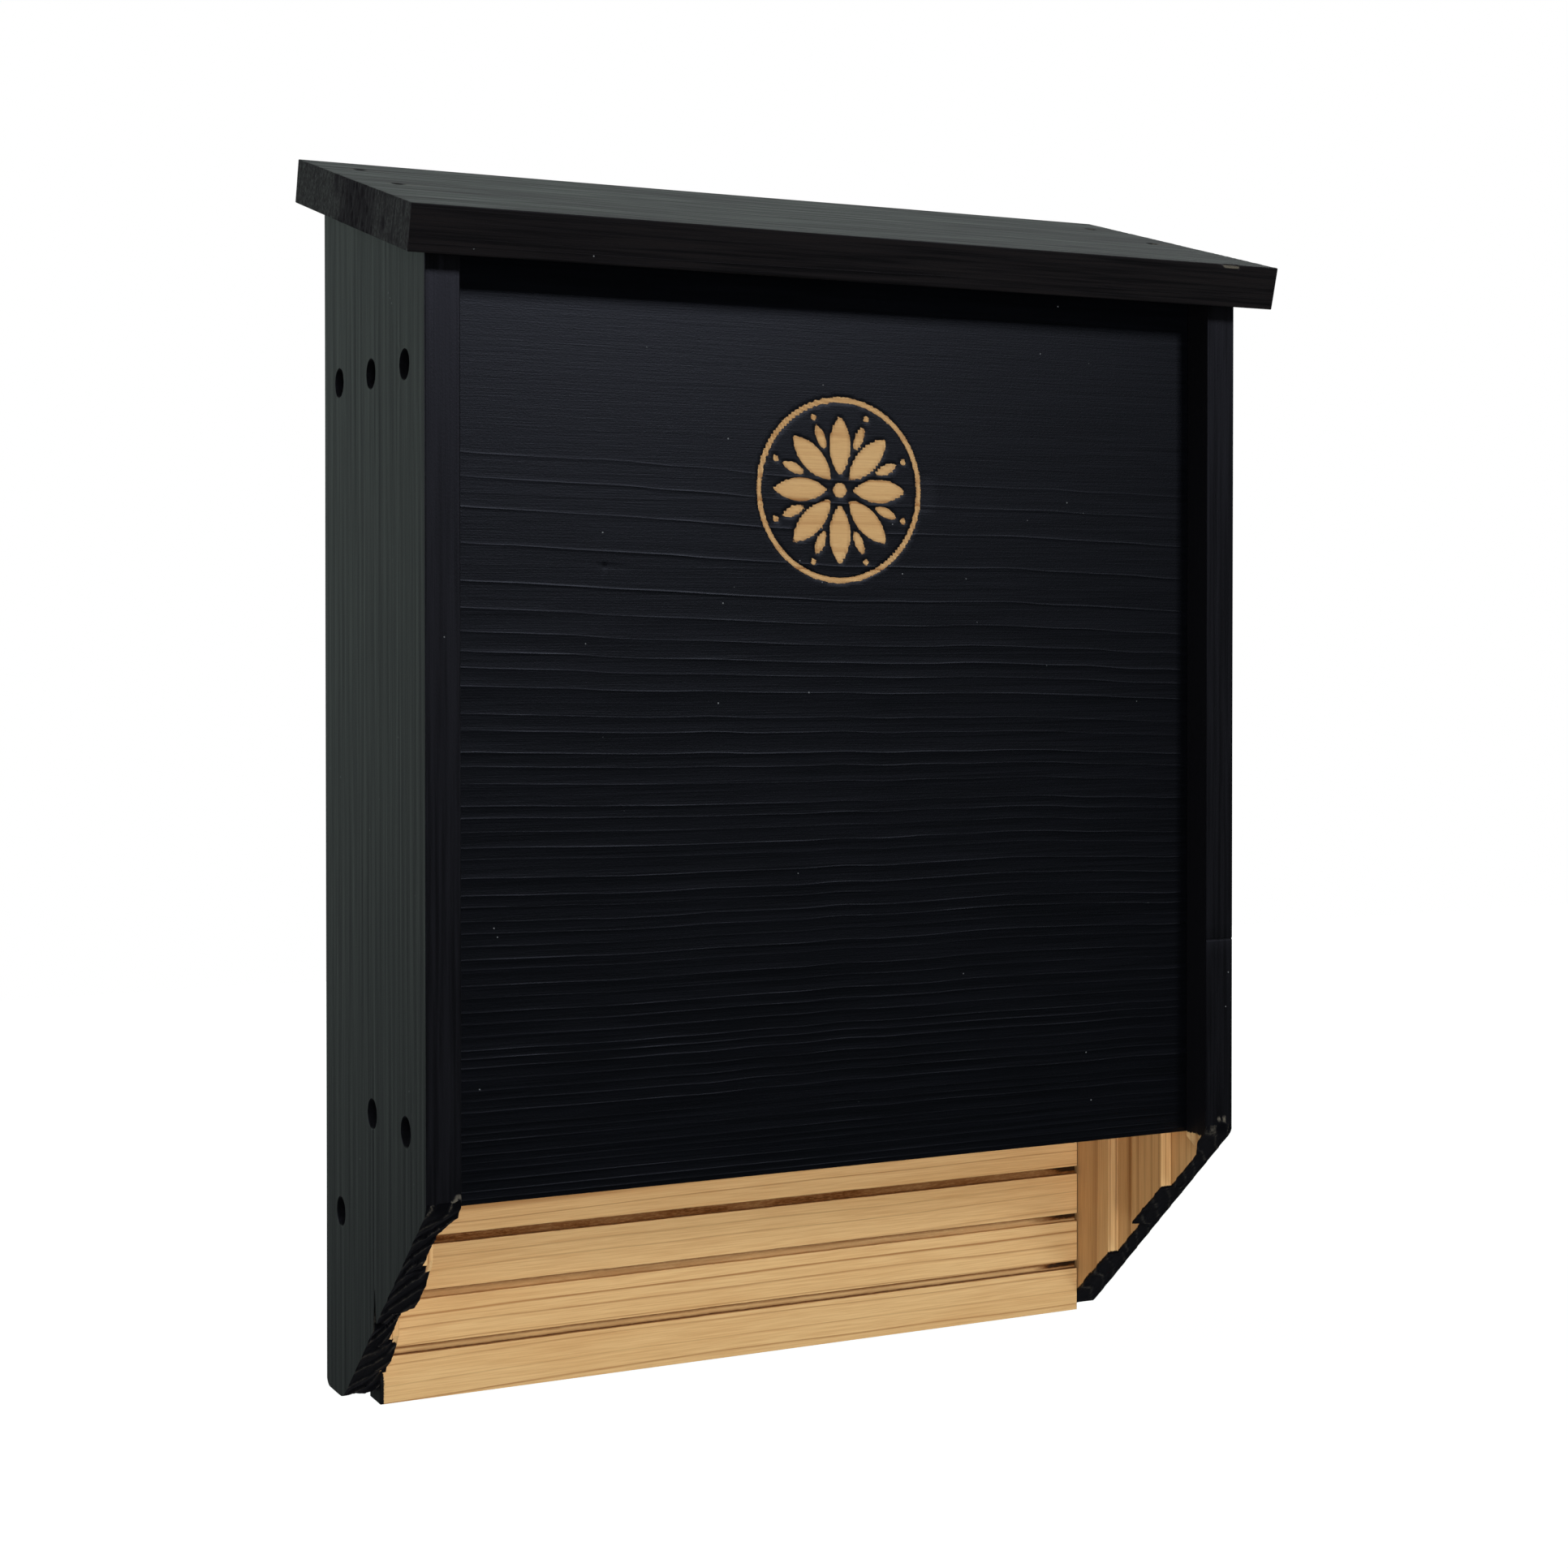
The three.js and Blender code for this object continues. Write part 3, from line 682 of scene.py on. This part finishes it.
def foot_line(depth, rise):
    """A side board's lower outline: a short foot with a round heel, then the slanting cut, which ends in a
    round corner at the front edge. The heel and the corner are arcs of a circle."""
    slant = (depth - FOOT_LENGTH) * SLANT
    height = (rise + slant + np.sqrt((rise - slant) ** 2 + TOE_SOFTNESS**2)) / 2
    past_heel = np.clip(HEEL_RADIUS - depth, 0, None)
    heel = HEEL_RADIUS - np.sqrt(np.clip(HEEL_RADIUS**2 - past_heel**2, 0, None))
    tilt = math.hypot(1, SLANT)
    centre = SIDE_DEPTH - SLANT_CORNER_RADIUS
    centre_height = (centre - FOOT_LENGTH) * SLANT + SLANT_CORNER_RADIUS * tilt
    past = depth > centre + SLANT_CORNER_RADIUS * SLANT / tilt
    arc = centre_height - np.sqrt(np.clip(SLANT_CORNER_RADIUS**2 - (depth - centre) ** 2, 0, None))
    return np.where(past, arc, height + heel)


def torn_grain(depth, share, chips, seed):
    """How far the saw tore the slanting cut upwards, where share runs from 0 at the inner face to 1 at the
    outer, the chips' part of that, and how flat black each point is. Tears slant with the growth rings: each
    is deepest at its rear end and shallows as the square of the way across, with finer ones and rough fibres
    on it. A chip off the inner arris is deepest at its front end and shallows as a power of the way to its
    rear end. The ridges between tears keep a satin edge."""
    course = depth + RIDGE_SLANT * share + 2.4 * value_noise(depth, share * 12, 14, 6, seed)
    broad = (course / BROAD_TEAR) % 1.0
    fine = (course / FINE_TEAR) % 1.0
    rough = value_noise(depth, share * 12, 1.1, 1.3, seed + 1)
    size = 0.65 + 0.35 * value_noise(course, share, BROAD_TEAR, 9, seed + 3)
    chipped = np.zeros(len(depth))
    for place, reach, length in chips:
        way = np.clip(1 - (place - depth) / length, 0, 1) * (1 - ease(depth, place - 0.1, place + 0.8))
        chipped = np.maximum(chipped, reach * way**1.3)
    chipped *= 1 - ease(share + 0.06 * value_noise(depth, share, 2.0, 1.0, seed + 2), 0.08, 0.34)
    ridges = 1.3 * size * (1 - broad**2) + 0.25 * (1 - fine**2) + 0.1 * (rough + 1)
    straight = 1 - 0.5 * ease(share, 0.82, 1.0)
    flat_black = 1 - 0.95 * ease(broad, 0.55, 0.9) * ease(rough, -0.9, -0.2)
    return ridges * straight + chipped, chipped, flat_black


def side_board(side, split_depth, joint_height, seed, material):
    """A side board: a block whose lower end follows the foot line and whose upper end follows the roof, with
    two housings in its inner face and six counterbores in its outer face.

    Rows near the foot are squeezed between the foot line and a line a little above it, rows above the top
    screws are squeezed under the roof, and those between keep their height. The inner face's foot is bevelled
    off in front of the front housing, and a split is a narrow triangle cut into the foot line."""
    sign = 1 if side == "right" else -1
    low, high = box(f"side_panel_{side}")
    rise = low[2] - FOOT - FOOT_DROP[side]
    centres = [node_middle(f"{row}_screw_{side}_{level}") for row in SCREW_ROWS for level in SCREW_LEVELS]
    rings = COUNTERBORE_RADIUS * both_ways([0, 0.5, 0.85, 0.985, 1.0, 1.05, 1.25, 1.6])
    housings = np.array([depths("centre_baffle"), depths("front_panel")]) + [-FIT_GAP, FIT_GAP]
    walls = np.add.outer(housings, both_ways([0, WALL_STEP])).ravel()
    corner = SIDE_DEPTH - SLANT_CORNER_RADIUS * (1 - np.sin(np.radians([55, 65, 75, 82, 87])))
    heel = HEEL_RADIUS * (1 - np.cos(np.radians([15, 30, 45, 60, 75, 90])))
    split_marks = split_depth + SPLIT_HALF_WIDTH * both_ways([0, 0.2, 0.4, 0.66, 1])
    depth_marks = np.concatenate([walls, corner, heel, split_marks, *[rings + depth for depth, _ in centres]])
    joint_marks = joint_height + both_ways([0, 0.15, 0.35, 0.7])
    height_marks = np.concatenate([joint_marks, *[rings + height for _, height in centres]])
    xs = lines(low[0], high[0], 0.8, ARRIS)
    ys = lines(-SIDE_DEPTH, 0.0, 0.85, ARRIS, -depth_marks)
    zs = lines(0.0, board_top(0.0), 4.0, 0.0, height_marks)
    points, quads = shell(xs, ys, zs)

    outer_x, inner_x = sign * OUTER_X, sign * INNER_X
    section = soften(points * [1, 1, 0], (low[0], -SIDE_DEPTH, -ARRIS), (high[0], 0, ARRIS), ARRIS)
    share = (section[:, 0] - inner_x) / (outer_x - inner_x)
    depth, height = -section[:, 1], points[:, 2]
    outside, inside = on_face(points, 0, outer_x), on_face(points, 0, inner_x)
    in_front, cut = on_face(points, 1, -SIDE_DEPTH), on_face(points, 2, 0.0)

    torn, chipped, flat_black = torn_grain(depth, share, CHIPS[side], seed)
    foot = foot_line(depth, rise) + TEAR[side] * torn * ease(depth, 14, 24)
    if split_depth:
        wedge = np.clip(1 - np.abs(depth - split_depth) / SPLIT_HALF_WIDTH, 0, 1)
        foot = foot + SPLIT_HEIGHT * wedge**1.3 * ease(share, 0.5, 0.9)
    top = board_top(depth)
    squeeze = foot + FOOT_SQUEEZE
    lower = foot + height * (squeeze - foot) / squeeze
    fixed = max(centre for _, centre in centres) + 2 * COUNTERBORE_RADIUS
    upper = fixed + (height - fixed) * (top - fixed) / (board_top(0.0) - fixed)
    height = np.where(height < squeeze, lower, np.where(height > fixed, upper, height))

    depth, height, sunk = drill(depth, height, centres, COUNTERBORE_RADIUS, COUNTERBORE_PROFILE, outside)
    above_foot = height - foot
    groove = np.zeros(len(points))
    for rear, front in housings:
        groove += ((depth > rear + WALL_STEP / 2) & (depth < front - WALL_STEP / 2)) * HOUSING_DEPTH
    past = depth - housings[1][1] + WALL_STEP / 2
    bevel = np.clip(1 - past / BEVEL_LENGTH[side], 0, 1) * (past >= 0) * (1 - ease(above_foot, 2, 9))
    groove = np.maximum(groove, HOUSING_DEPTH * bevel)
    relief = 0.05 * (value_noise(depth, height, 1.7, 90, seed + 4) + 1)
    joint = 0.35 * bump(height - joint_height, 0.3) if joint_height else 0.0
    outer = outer_x - sign * (sunk + (relief + joint) * outside)
    x = inner_x + sign * groove + share * (outer - inner_x - sign * groove)
    y = -depth + (0.05 * (value_noise(x, height, 1.5, 80, seed + 5) + 1) + joint) * in_front

    recess = np.minimum(depth - depths("front_panel")[1], height - box("front_panel")[0][2] + FOOT)
    recess = np.clip(0.5 + recess / 1.2, 0, 1)
    bleed = np.clip(1.0 - above_foot / 0.9, 0, 1) * (1 - ease(chipped, 0.3, 1.0))
    stain = np.where(inside, np.maximum(recess, bleed), 1.0)
    stain = np.where(cut, 1 - 0.9 * ease(chipped, 1.3, 2.0), stain)
    # Flat black is painted shade in the counterbores and on the stained inner face, soaked end grain on the
    # cut
    soak_and_shade = np.where(cut, flat_black, np.where(inside, 0.8, ease(sunk, 0.3, 1.0)))
    rub_and_highlight = patch(x, height, RUBBED_PATCHES[side], 2.2, 3.4) * (points[:, 1] < -SIDE_DEPTH + ARRIS)
    rub_and_highlight = 0.75 * rub_and_highlight * ease(value_noise(x, height, 1.1, 2.6, seed + 6), -0.7, 0.6)
    # The torn ridges' crests get the greyish brown of rubbed stain as a painted highlight
    rub_and_highlight = np.where(cut, 0.5 * (1 - flat_black), rub_and_highlight)
    placed = np.stack([x, y, FOOT + height], 1)
    mesh = make_mesh(f"{side}_side_board", placed, quads, stain=stain, soak_and_shade=soak_and_shade, rub_and_highlight=rub_and_highlight)
    put(mesh, material, [f"side_panel_{side}"])


def kerf_heights(foot, top):
    """Middles of the climbing kerfs between a board's foot and the top of its lower face."""
    return np.arange(foot + LOWEST_KERF, top - LOWEST_KERF, KERF_PITCH)


def kerf_marks(middles):
    """Sample lines at a kerf's floor and edges."""
    half = KERF_WIDTH / 2
    offsets = both_ways([0, half - 1.1, half - 0.5, half - WALL_STEP, half, half + 0.35])
    return np.add.outer(middles, offsets).ravel()


def saw_kerfs(x, height, middles, end, seed):
    """How deep the climbing kerfs are, and how brown from the saw and dark with painted shade. A kerf has its
    full depth between two steep walls, with a rough floor. The floor's tone varies a little and also carries
    painted shade, the painted shade along its corners is bells, and near the board's end at high X, where the
    kerf meets the right side board, painted shade darkens the floor, fading out towards its lower edge. The
    darkest of them shows."""
    number, offset = nearest(height, middles)
    inside = 1 - np.clip((np.abs(offset) - KERF_WIDTH / 2 + WALL_STEP) / WALL_STEP, 0, 1)
    sunk = KERF_DEPTH * inside * (1 + 0.12 * value_noise(x, height, 3.0, 1.2, seed))
    # The floor's brown with painted shade, painted shade at the upper and the lower corner, and at the end
    floor, upper, lower, end_shade = np.array(KERF_BURN_AND_SHADE)[np.minimum(number, len(KERF_BURN_AND_SHADE) - 1)].T
    floor = floor + 0.12 * value_noise(x, height, 14, 2, seed + 4)
    upper = upper * bump(offset - KERF_WIDTH / 2 + 0.75, 0.55)
    lower = lower * bump(offset + KERF_WIDTH / 2 - 0.2, 0.34)
    end_shade = end_shade * ease(x + 4 * value_noise(x, height, 9, 0.8, seed + 5), end - 25, end - 8)
    end_shade = end_shade * ease(offset, -1.6, -0.2)
    return sunk, np.clip(np.maximum.reduce([floor, upper, lower, end_shade]), 0, 1.3)


def inner_board(name, node, top_at, kerfs_at_rear, pocket_height, seed, material):
    """A board between the sides: a block with climbing kerfs across its front, and across its rear if asked.
    The pocket, if its middle's height is given, is a sunk rectangle in the rear face. The ends show at the
    foot, where the stain of the sides runs over them."""
    low, high = box(node)
    low[2] = foot = low[2] - FOOT
    high[2] = top = top_at(-low[1])
    middles = kerf_heights(foot, min(top_at(-high[1]), top))
    marks = kerf_marks(middles)
    x_marks = []
    if pocket_height:
        x_marks = both_ways([POCKET_HALF_WIDTH, POCKET_HALF_WIDTH + WALL_STEP])
        walls = pocket_height + both_ways([POCKET_HALF_HEIGHT, POCKET_HALF_HEIGHT + WALL_STEP])
        marks = np.concatenate([marks, walls])
    points, soft, quads = block(low, high, (2.5, 1.5, 3.0), ARRIS / 2, (x_marks, (), marks))
    at_front, at_rear = on_face(points, 1, low[1]), on_face(points, 1, high[1])
    at_end = on_face(points, 0, low[0]) | on_face(points, 0, high[0])
    x, y, height = soft.T
    rear_share = np.clip((y - low[1]) / (high[1] - low[1]), 0, 1)
    sunk, tone = saw_kerfs(x, height, middles, high[0], seed)
    y = y + sunk * (1 - rear_share)
    if kerfs_at_rear:
        y = y - sunk * rear_share
    if pocket_height:
        within = np.abs(x) <= POCKET_HALF_WIDTH + 0.01
        within &= np.abs(height - pocket_height) <= POCKET_HALF_HEIGHT + 0.01
        y = np.where(at_rear & within, y - POCKET_DEPTH, y)
    ragged = 0.1 * value_noise(x, height, 2.2, 40, seed + 1) + 0.12 * value_noise(x, height, 14, 60, seed + 2)
    near_edge = bump(np.abs(sunk / KERF_DEPTH - 0.5), 0.6)
    relief = 0.05 * np.abs(value_noise(x, height, 60, 1.9, seed + 3))
    y = y + relief * at_front - relief * at_rear
    # The kerfs' floors carry their brown and painted shade to the material
    burn_and_shade = np.where((at_front | (at_rear & kerfs_at_rear)) & (sunk > 0.5 * KERF_DEPTH), tone, 0)
    height = height + ragged * near_edge * ((height > foot + 1) & (height < top - 1))
    height = height + (top_at(-y) - top) * ease(height, top - 30, top)
    placed = np.stack([x, y, FOOT + height], 1)
    run_over = patch(x, height, (low[0], 5), 1.2, 8) * at_front
    stain = np.maximum(at_end, run_over)
    mesh = make_mesh(name, placed, quads, stain=stain, burn_and_shade=burn_and_shade, soak_and_shade=0.25 * stain)
    put(mesh, material, [node])


def leaf(x, z, angle, near, far, half_width):
    """Distance outside a pointed petal, the overlap of two equal circles, that lies along a ray at an angle
    from the ornament's centre, between two radii."""
    half_length = (far - near) / 2
    along = np.abs(x * math.cos(angle) + z * math.sin(angle) - (near + far) / 2)
    beside = np.abs(z * math.cos(angle) - x * math.sin(angle))
    offset = (half_length**2 - half_width**2) / (2 * half_width)
    curve = np.hypot(along, beside + offset) - (offset + half_width)
    return np.where(along > half_length, np.hypot(along - half_length, beside), curve)


def ornament(x, z):
    """Distance outside the engraving in mm: a ring, an eight-petalled rosette inside it with small petals
    between the large ones, and a dot between each pair of petals."""
    radius = np.hypot(x, z)
    distance = np.minimum(np.abs(radius - RING_RADIUS) - RING_HALF_WIDTH, radius - ROSETTE_EYE)
    step = 2 * math.pi / PETALS
    for i in range(PETALS):
        between = (i + 0.5) * step
        distance = np.minimum(distance, leaf(x, z, i * step, 5.0, 26.0, 4.1))
        distance = np.minimum(distance, leaf(x, z, between, 15.0, 24.5, 1.7))
        dot = np.hypot(x - 27.2 * math.cos(between), z - 27.2 * math.sin(between)) - 1.1
        distance = np.minimum(distance, dot)
    return distance


def ridge_heights(foot):
    """Heights of the raised rings from the foot up. Their widths grow unevenly, as a power of the height."""
    random = np.random.default_rng(11)
    heights, height = [], foot + RING_NARROW / 2
    while height < RING_TOP:
        heights.append(height)
        rise = (height - foot) / (RING_TOP - foot)
        height += (RING_NARROW + (RING_WIDE - RING_NARROW) * rise**RING_GROWTH) * random.uniform(0.65, 1.35)
    return np.array(heights)


def front_board(material):
    """The front board: a block whose face carries raised rings of late wood. The grid's rows follow the
    rings, which run a little downhill to the right and bow slightly. A ring is two bells, steep above and
    flatter below. The ornament is engraved through the stain. A pin knot is a small pit."""
    low, high = box("front_panel")
    low[2] = foot = low[2] - FOOT
    high[2] = top = board_top(-low[1])
    ridges = ridge_heights(foot)
    profile = [-0.62, -0.3, -0.12, 0.03, 0.2, 0.45]
    fine = both_ways([0, 0.5, 1.1])
    columns = np.arange(ORNAMENT_X - ORNAMENT_REACH, ORNAMENT_X + ORNAMENT_REACH, ORNAMENT_STEP)
    columns = np.concatenate([columns, PIN_KNOT[0] + fine])
    start, end = ORNAMENT_HEIGHT - ORNAMENT_REACH - 3, ORNAMENT_HEIGHT + ORNAMENT_REACH + 9
    rows = np.concatenate([np.arange(start, end, ORNAMENT_STEP), PIN_KNOT[1] + 3 + fine])
    rows = rows[np.abs(nearest(rows, ridges)[1]) > 0.7]
    rows = np.concatenate([np.add.outer(ridges, profile).ravel(), rows])
    points, soft, quads = block(low, high, (7.0, 4.0, 5.0), ARRIS, (columns, (), rows))
    at_front = on_face(points, 1, low[1])
    x, y, row = soft.T
    number, offset = nearest(row, ridges)
    vary = np.random.default_rng(5).uniform(0.4, 1.0, len(ridges))[number]
    fade = 0.66 + 0.34 * value_noise(x, row, 24, 7, 21)
    ridge = bump(offset, np.where(offset > 0, 0.17, 0.34)) * vary * fade
    run = (x - low[0]) / (high[0] - low[0])
    drift = -9.0 * run * ease(row, foot + 40, 300) + 1.3 * value_noise(x, row, 75, 60, 31)
    drift = drift + 0.35 * value_noise(x, row, 17, 30, 32)
    hold = ease(row, foot + 0.5, foot + 16) * (1 - ease(row, top - 22, top - 1))
    height = row + drift * hold
    height = height + (board_top(-y) - top) * ease(height, top - 30, top)
    engraved = ornament(x - ORNAMENT_X, height - ORNAMENT_HEIGHT)
    engraving = np.where(at_front, 1 - ease(engraved, -0.25, 0.1), 0)
    knot = bump(np.hypot(x - PIN_KNOT[0], (height - PIN_KNOT[1]) * 1.6), 0.9) * at_front
    raised = RIDGE_HEIGHT * ridge * (1 - engraving) - 0.5 * knot
    y = y - raised * at_front + ENGRAVING_DEPTH * engraving
    stain = np.where(at_front, np.clip(0.5 + engraved / 0.8, 0, 1), 1)
    stain = np.where(on_face(points, 1, high[1]), 0, stain)
    stain = np.where(on_face(points, 2, foot), np.clip((low[1] - points[:, 1] + 5) / 3, 0, 1), stain)
    placed = np.stack([x, y, FOOT + height], 1)
    burn_and_shade = np.where(at_front & (engraved < 0.4), 0.24 + 0.4 * bump(engraved, 0.45), 0)
    mesh = make_mesh("front_board", placed, quads, stain=stain, burn_and_shade=burn_and_shade, soak_and_shade=knot)
    put(mesh, material, ["front_panel"], sharp_angle=60)


def roof_plank(material):
    """The roof board: a block turned by the roof's slope, with raised streaks along its top, torn end grain
    at both ends and a sunk hole over each nail. The ends are pitted where two noises peak, and drink the
    stain in the pits and in a patch of their middle."""
    low, high = box("roof_board")
    c, s = math.cos(ROOF_SLOPE), math.sin(ROOF_SLOPE)
    centres = []
    for name in (f"roof_nail_{side}_{row}" for side in ("left", "right") for row in ("rear", "front")):
        point = axis_point(name, OUT_OF_ROOF)
        centres.append((point[0], (point[1] - ROOF_FRONT_Y) * c + (point[2] - ROOF_FRONT_Z) * s))
    rings = NAIL_HOLE_RADIUS * both_ways([0, 0.5, 0.85, 0.96, 1.0, 1.2, 1.6])
    columns = np.concatenate([ROOF_CHIP_X + both_ways([0, 1.5, 3, 5]), *[rings + x for x, _ in centres]])
    rows = np.concatenate([rings + along for _, along in centres])
    low[1:], high[1:] = (0, -ROOF_THICKNESS), (ROOF_LENGTH, 0)
    points, soft, quads = block(low, high, (3.5, 0.8, 0.7), ARRIS, (columns, rows, ()))
    on_top = on_face(points, 2, 0.0)
    at_end = on_face(points, 0, low[0]) | on_face(points, 0, high[0])
    x, along, level = soft.T
    x, along, sunk = drill(x, along, centres, NAIL_HOLE_RADIUS, NAIL_HOLE_PROFILE, on_top)
    # A lighter, greyish-brown patch round each nail hole, stretched along the grain
    rub_and_highlight = np.zeros(len(points))
    for centre_x, centre_along in centres:
        rub_and_highlight = np.maximum(rub_and_highlight, 0.62 * patch(x, along, (centre_x + 2, centre_along), 9, 3.2))
    streaks = 0.05 * value_noise(x, along, 90, 1.6, 41) + 0.09 * value_noise(x, along, 160, 4.2, 42)
    level = level - np.where(on_top, np.abs(streaks) + sunk, 0)
    pits = value_noise(along, level, 1.5, 2.6, 44) + 0.5 * value_noise(along, level, 0.9, 1.0, 45)
    pits = ease(pits, 0.1, 0.8)
    grooves = value_noise(along + 0.15 * level, level, 1.2, 16, 43)
    inner = 0.3 * value_noise(along, level, 9, 5, 46) + bump(along - 0.42 * ROOF_LENGTH, 26)
    inner = ease(inner, 0.3, 0.8)
    depth = 0.07 * (grooves + 1) + 0.4 * pits * inner
    x = x - np.sign(x) * np.where(at_end, depth, 0)
    drunk = inner * (0.45 + 0.55 * np.maximum(pits, ease(grooves, -0.4, 0.3)))
    drunk = drunk + 0.25 * ease(grooves, 0.1, 0.6) + 0.5 * pits * ease(along, 0.8 * ROOF_LENGTH, 0)
    drunk = np.clip(drunk, 0, 1)
    chip = patch(x, along, (ROOF_CHIP_X, 0), 3.6, 1.4) * ease(level, -1.6, -0.4)
    level = level - 0.7 * chip
    along = along + 0.4 * chip
    rub_and_highlight = np.where(on_top, rub_and_highlight, 0) * ease(value_noise(x, along, 12, 0.9, 47), -0.5, 0.2)
    rub_and_highlight = np.maximum(rub_and_highlight, 0.9 * chip)
    placed = np.stack([x, ROOF_FRONT_Y + along * c - level * s, ROOF_FRONT_Z + along * s + level * c], 1)
    mesh = make_mesh("roof_plank", placed, quads, stain=np.ones(len(points)), soak_and_shade=drunk * at_end, rub_and_highlight=rub_and_highlight)
    put(mesh, material, ["roof_board"])


# Screws, nails and the hanger


def node_points(node):
    """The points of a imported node, in mm."""
    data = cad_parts[node].data
    points = np.empty(len(data.vertices) * 3)
    data.vertices.foreach_get("co", points)
    return points.reshape(-1, 3) / MM


def axis_point(node, axis):
    """The point on a fastener's axis at the top of its head, given the axis as a direction out of it."""
    points = node_points(node)
    axis = np.array(axis, float)
    along = points @ axis
    return (points - along[:, None] * axis).mean(0) + axis * along.max()


def fastener(name, node, axis, sizes, material):
    """A headed fastener turned about its axis. A row is a ring of points; the first and last rows are single
    points, so the surface is closed. The head's crown falls as a power of the radius. With a pitch, it is a
    screw: the thread is a ridge that climbs one pitch a turn, and the cross recess is two crossed slots whose
    depth falls off towards the rim."""
    head_radius, head_height, shank_radius, point_length, pitch = sizes
    axis = np.array(axis, float)
    head = axis_point(node, axis)
    length = np.ptp(node_points(node) @ axis)
    sides = 48 if pitch else 28
    crown = np.linspace(0, 1, 20)
    steps = max(6, round((length - head_height) / (pitch / 6 if pitch else 2)))
    shank = np.linspace(-head_height * 1.2, -length, steps)
    collar = [head_radius, head_radius * 0.97, shank_radius * 1.2, shank_radius]
    taper = shank_radius * np.clip((shank + length) / point_length, 0, 1)
    radius = np.concatenate([head_radius * crown, collar, taper])
    collar_level = -head_height * np.array([0.85, 1.0, 1.0, 1.08])
    level = np.concatenate([-head_height * 0.42 * crown**3.2, collar_level, shank])
    angle = np.linspace(0, 2 * math.pi, sides, endpoint=False)
    radius, angle = np.meshgrid(radius, angle, indexing="ij")
    level = np.repeat(level[:, None], sides, 1)
    if pitch:
        turn = (level / pitch - angle / (2 * math.pi)) % 1.0
        thread = np.clip(1 - np.abs(turn - 0.5) / 0.3, 0, 1)
        radius = np.where(level < -head_height * 1.6, radius * (0.74 + 0.26 * thread), radius)
        a, b = np.abs(radius * [np.cos(angle), np.sin(angle)]) / head_radius
        cross = (a, b), (b, a)
        slots = [(1 - ease(across, 0.18, 0.26)) * (1 - ease(along, 0.5, 0.62)) for across, along in cross]
        in_head = level > -head_height * 0.5
        level = level - np.where(in_head, np.maximum(*slots) * head_height * 0.62, 0)
    side = np.cross(axis, [0.3, 0.7, 0.2])
    side /= np.linalg.norm(side)
    other = np.cross(axis, side)
    around = np.cos(angle)[..., None] * side + np.sin(angle)[..., None] * other
    points = head + radius[..., None] * around + level[..., None] * axis
    rows = len(points)
    index = np.clip(np.arange(rows * sides) - sides + 1, 0, (rows - 2) * sides + 1).reshape(rows, sides)
    after = np.roll(index, -1, 1)
    quads = np.stack([index[1:-2], index[2:-1], after[2:-1], after[1:-2]], -1).reshape(-1, 4)
    top = np.stack([index[0], index[1], after[1]], -1)
    tip = np.stack([index[-1], after[-2], index[-2]], -1)
    kept = points.reshape(-1, 3)[sides - 1 : (rows - 1) * sides + 1]
    mesh = make_mesh(name, kept, quads, np.concatenate([top, tip]))
    put(mesh, material, [node])


def hanger_plate(material):
    """The keyhole plate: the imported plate's own shape with its points merged and its edges eased."""
    shape = bmesh.new()
    shape.from_mesh(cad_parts["hanger_plate"].data)
    bmesh.ops.remove_doubles(shape, verts=shape.verts, dist=0.001 * MM)
    mesh = bpy.data.meshes.new("keyhole_plate")
    shape.to_mesh(mesh)
    shape.free()
    mesh.materials.clear()
    piece = put(mesh, material, ["hanger_plate"])
    bevel = piece.modifiers.new("eased_edges", "BEVEL")
    bevel.width = 0.25 * MM
    bevel.segments = 2
    bevel.limit_method = "ANGLE"
    bevel.angle_limit = math.radians(40)


def make_boards():
    side_wood, front_wood, roof_wood, bare_wood = [wood(*values) for values in WOODS]
    side_board("left", SPLIT_DEPTH, 0, 61, side_wood)
    side_board("right", 0, JOINT_HEIGHT, 71, side_wood)
    inner_board("back_board", "back_panel", board_top, False, node_middle("hanger_plate")[1], 81, bare_wood)
    baffle_top = box("centre_baffle")[1][2] - FOOT
    inner_board("baffle_board", "centre_baffle", lambda depth: baffle_top + 0 * depth, True, 0, 91, bare_wood)
    front_board(front_wood)
    roof_plank(roof_wood)


def make_fasteners():
    zinc = zinc_plate("zinc_plated_steel", 0.0)
    stained_zinc = zinc_plate("stained_zinc_plated_steel", 1.0)
    nail = stained_nail()
    for side, sign in (("left", -1), ("right", 1)):
        for row in SCREW_ROWS:
            for level in SCREW_LEVELS:
                fastener(f"side_screw_{side}_{row}_{level}", f"{row}_screw_{side}_{level}", (sign, 0, 0),
                         SIDE_SCREW, stained_zinc)
        fastener(f"plate_screw_{side}", f"hanger_screw_{side}", (0, 1, 0), PLATE_SCREW, zinc)
        for row in ("rear", "front"):
            fastener(f"nail_{side}_{row}", f"roof_nail_{side}_{row}", OUT_OF_ROOF, ROOF_NAIL, nail)
    hanger_plate(zinc)


make_camera()
make_studio()
make_boards()
make_fasteners()
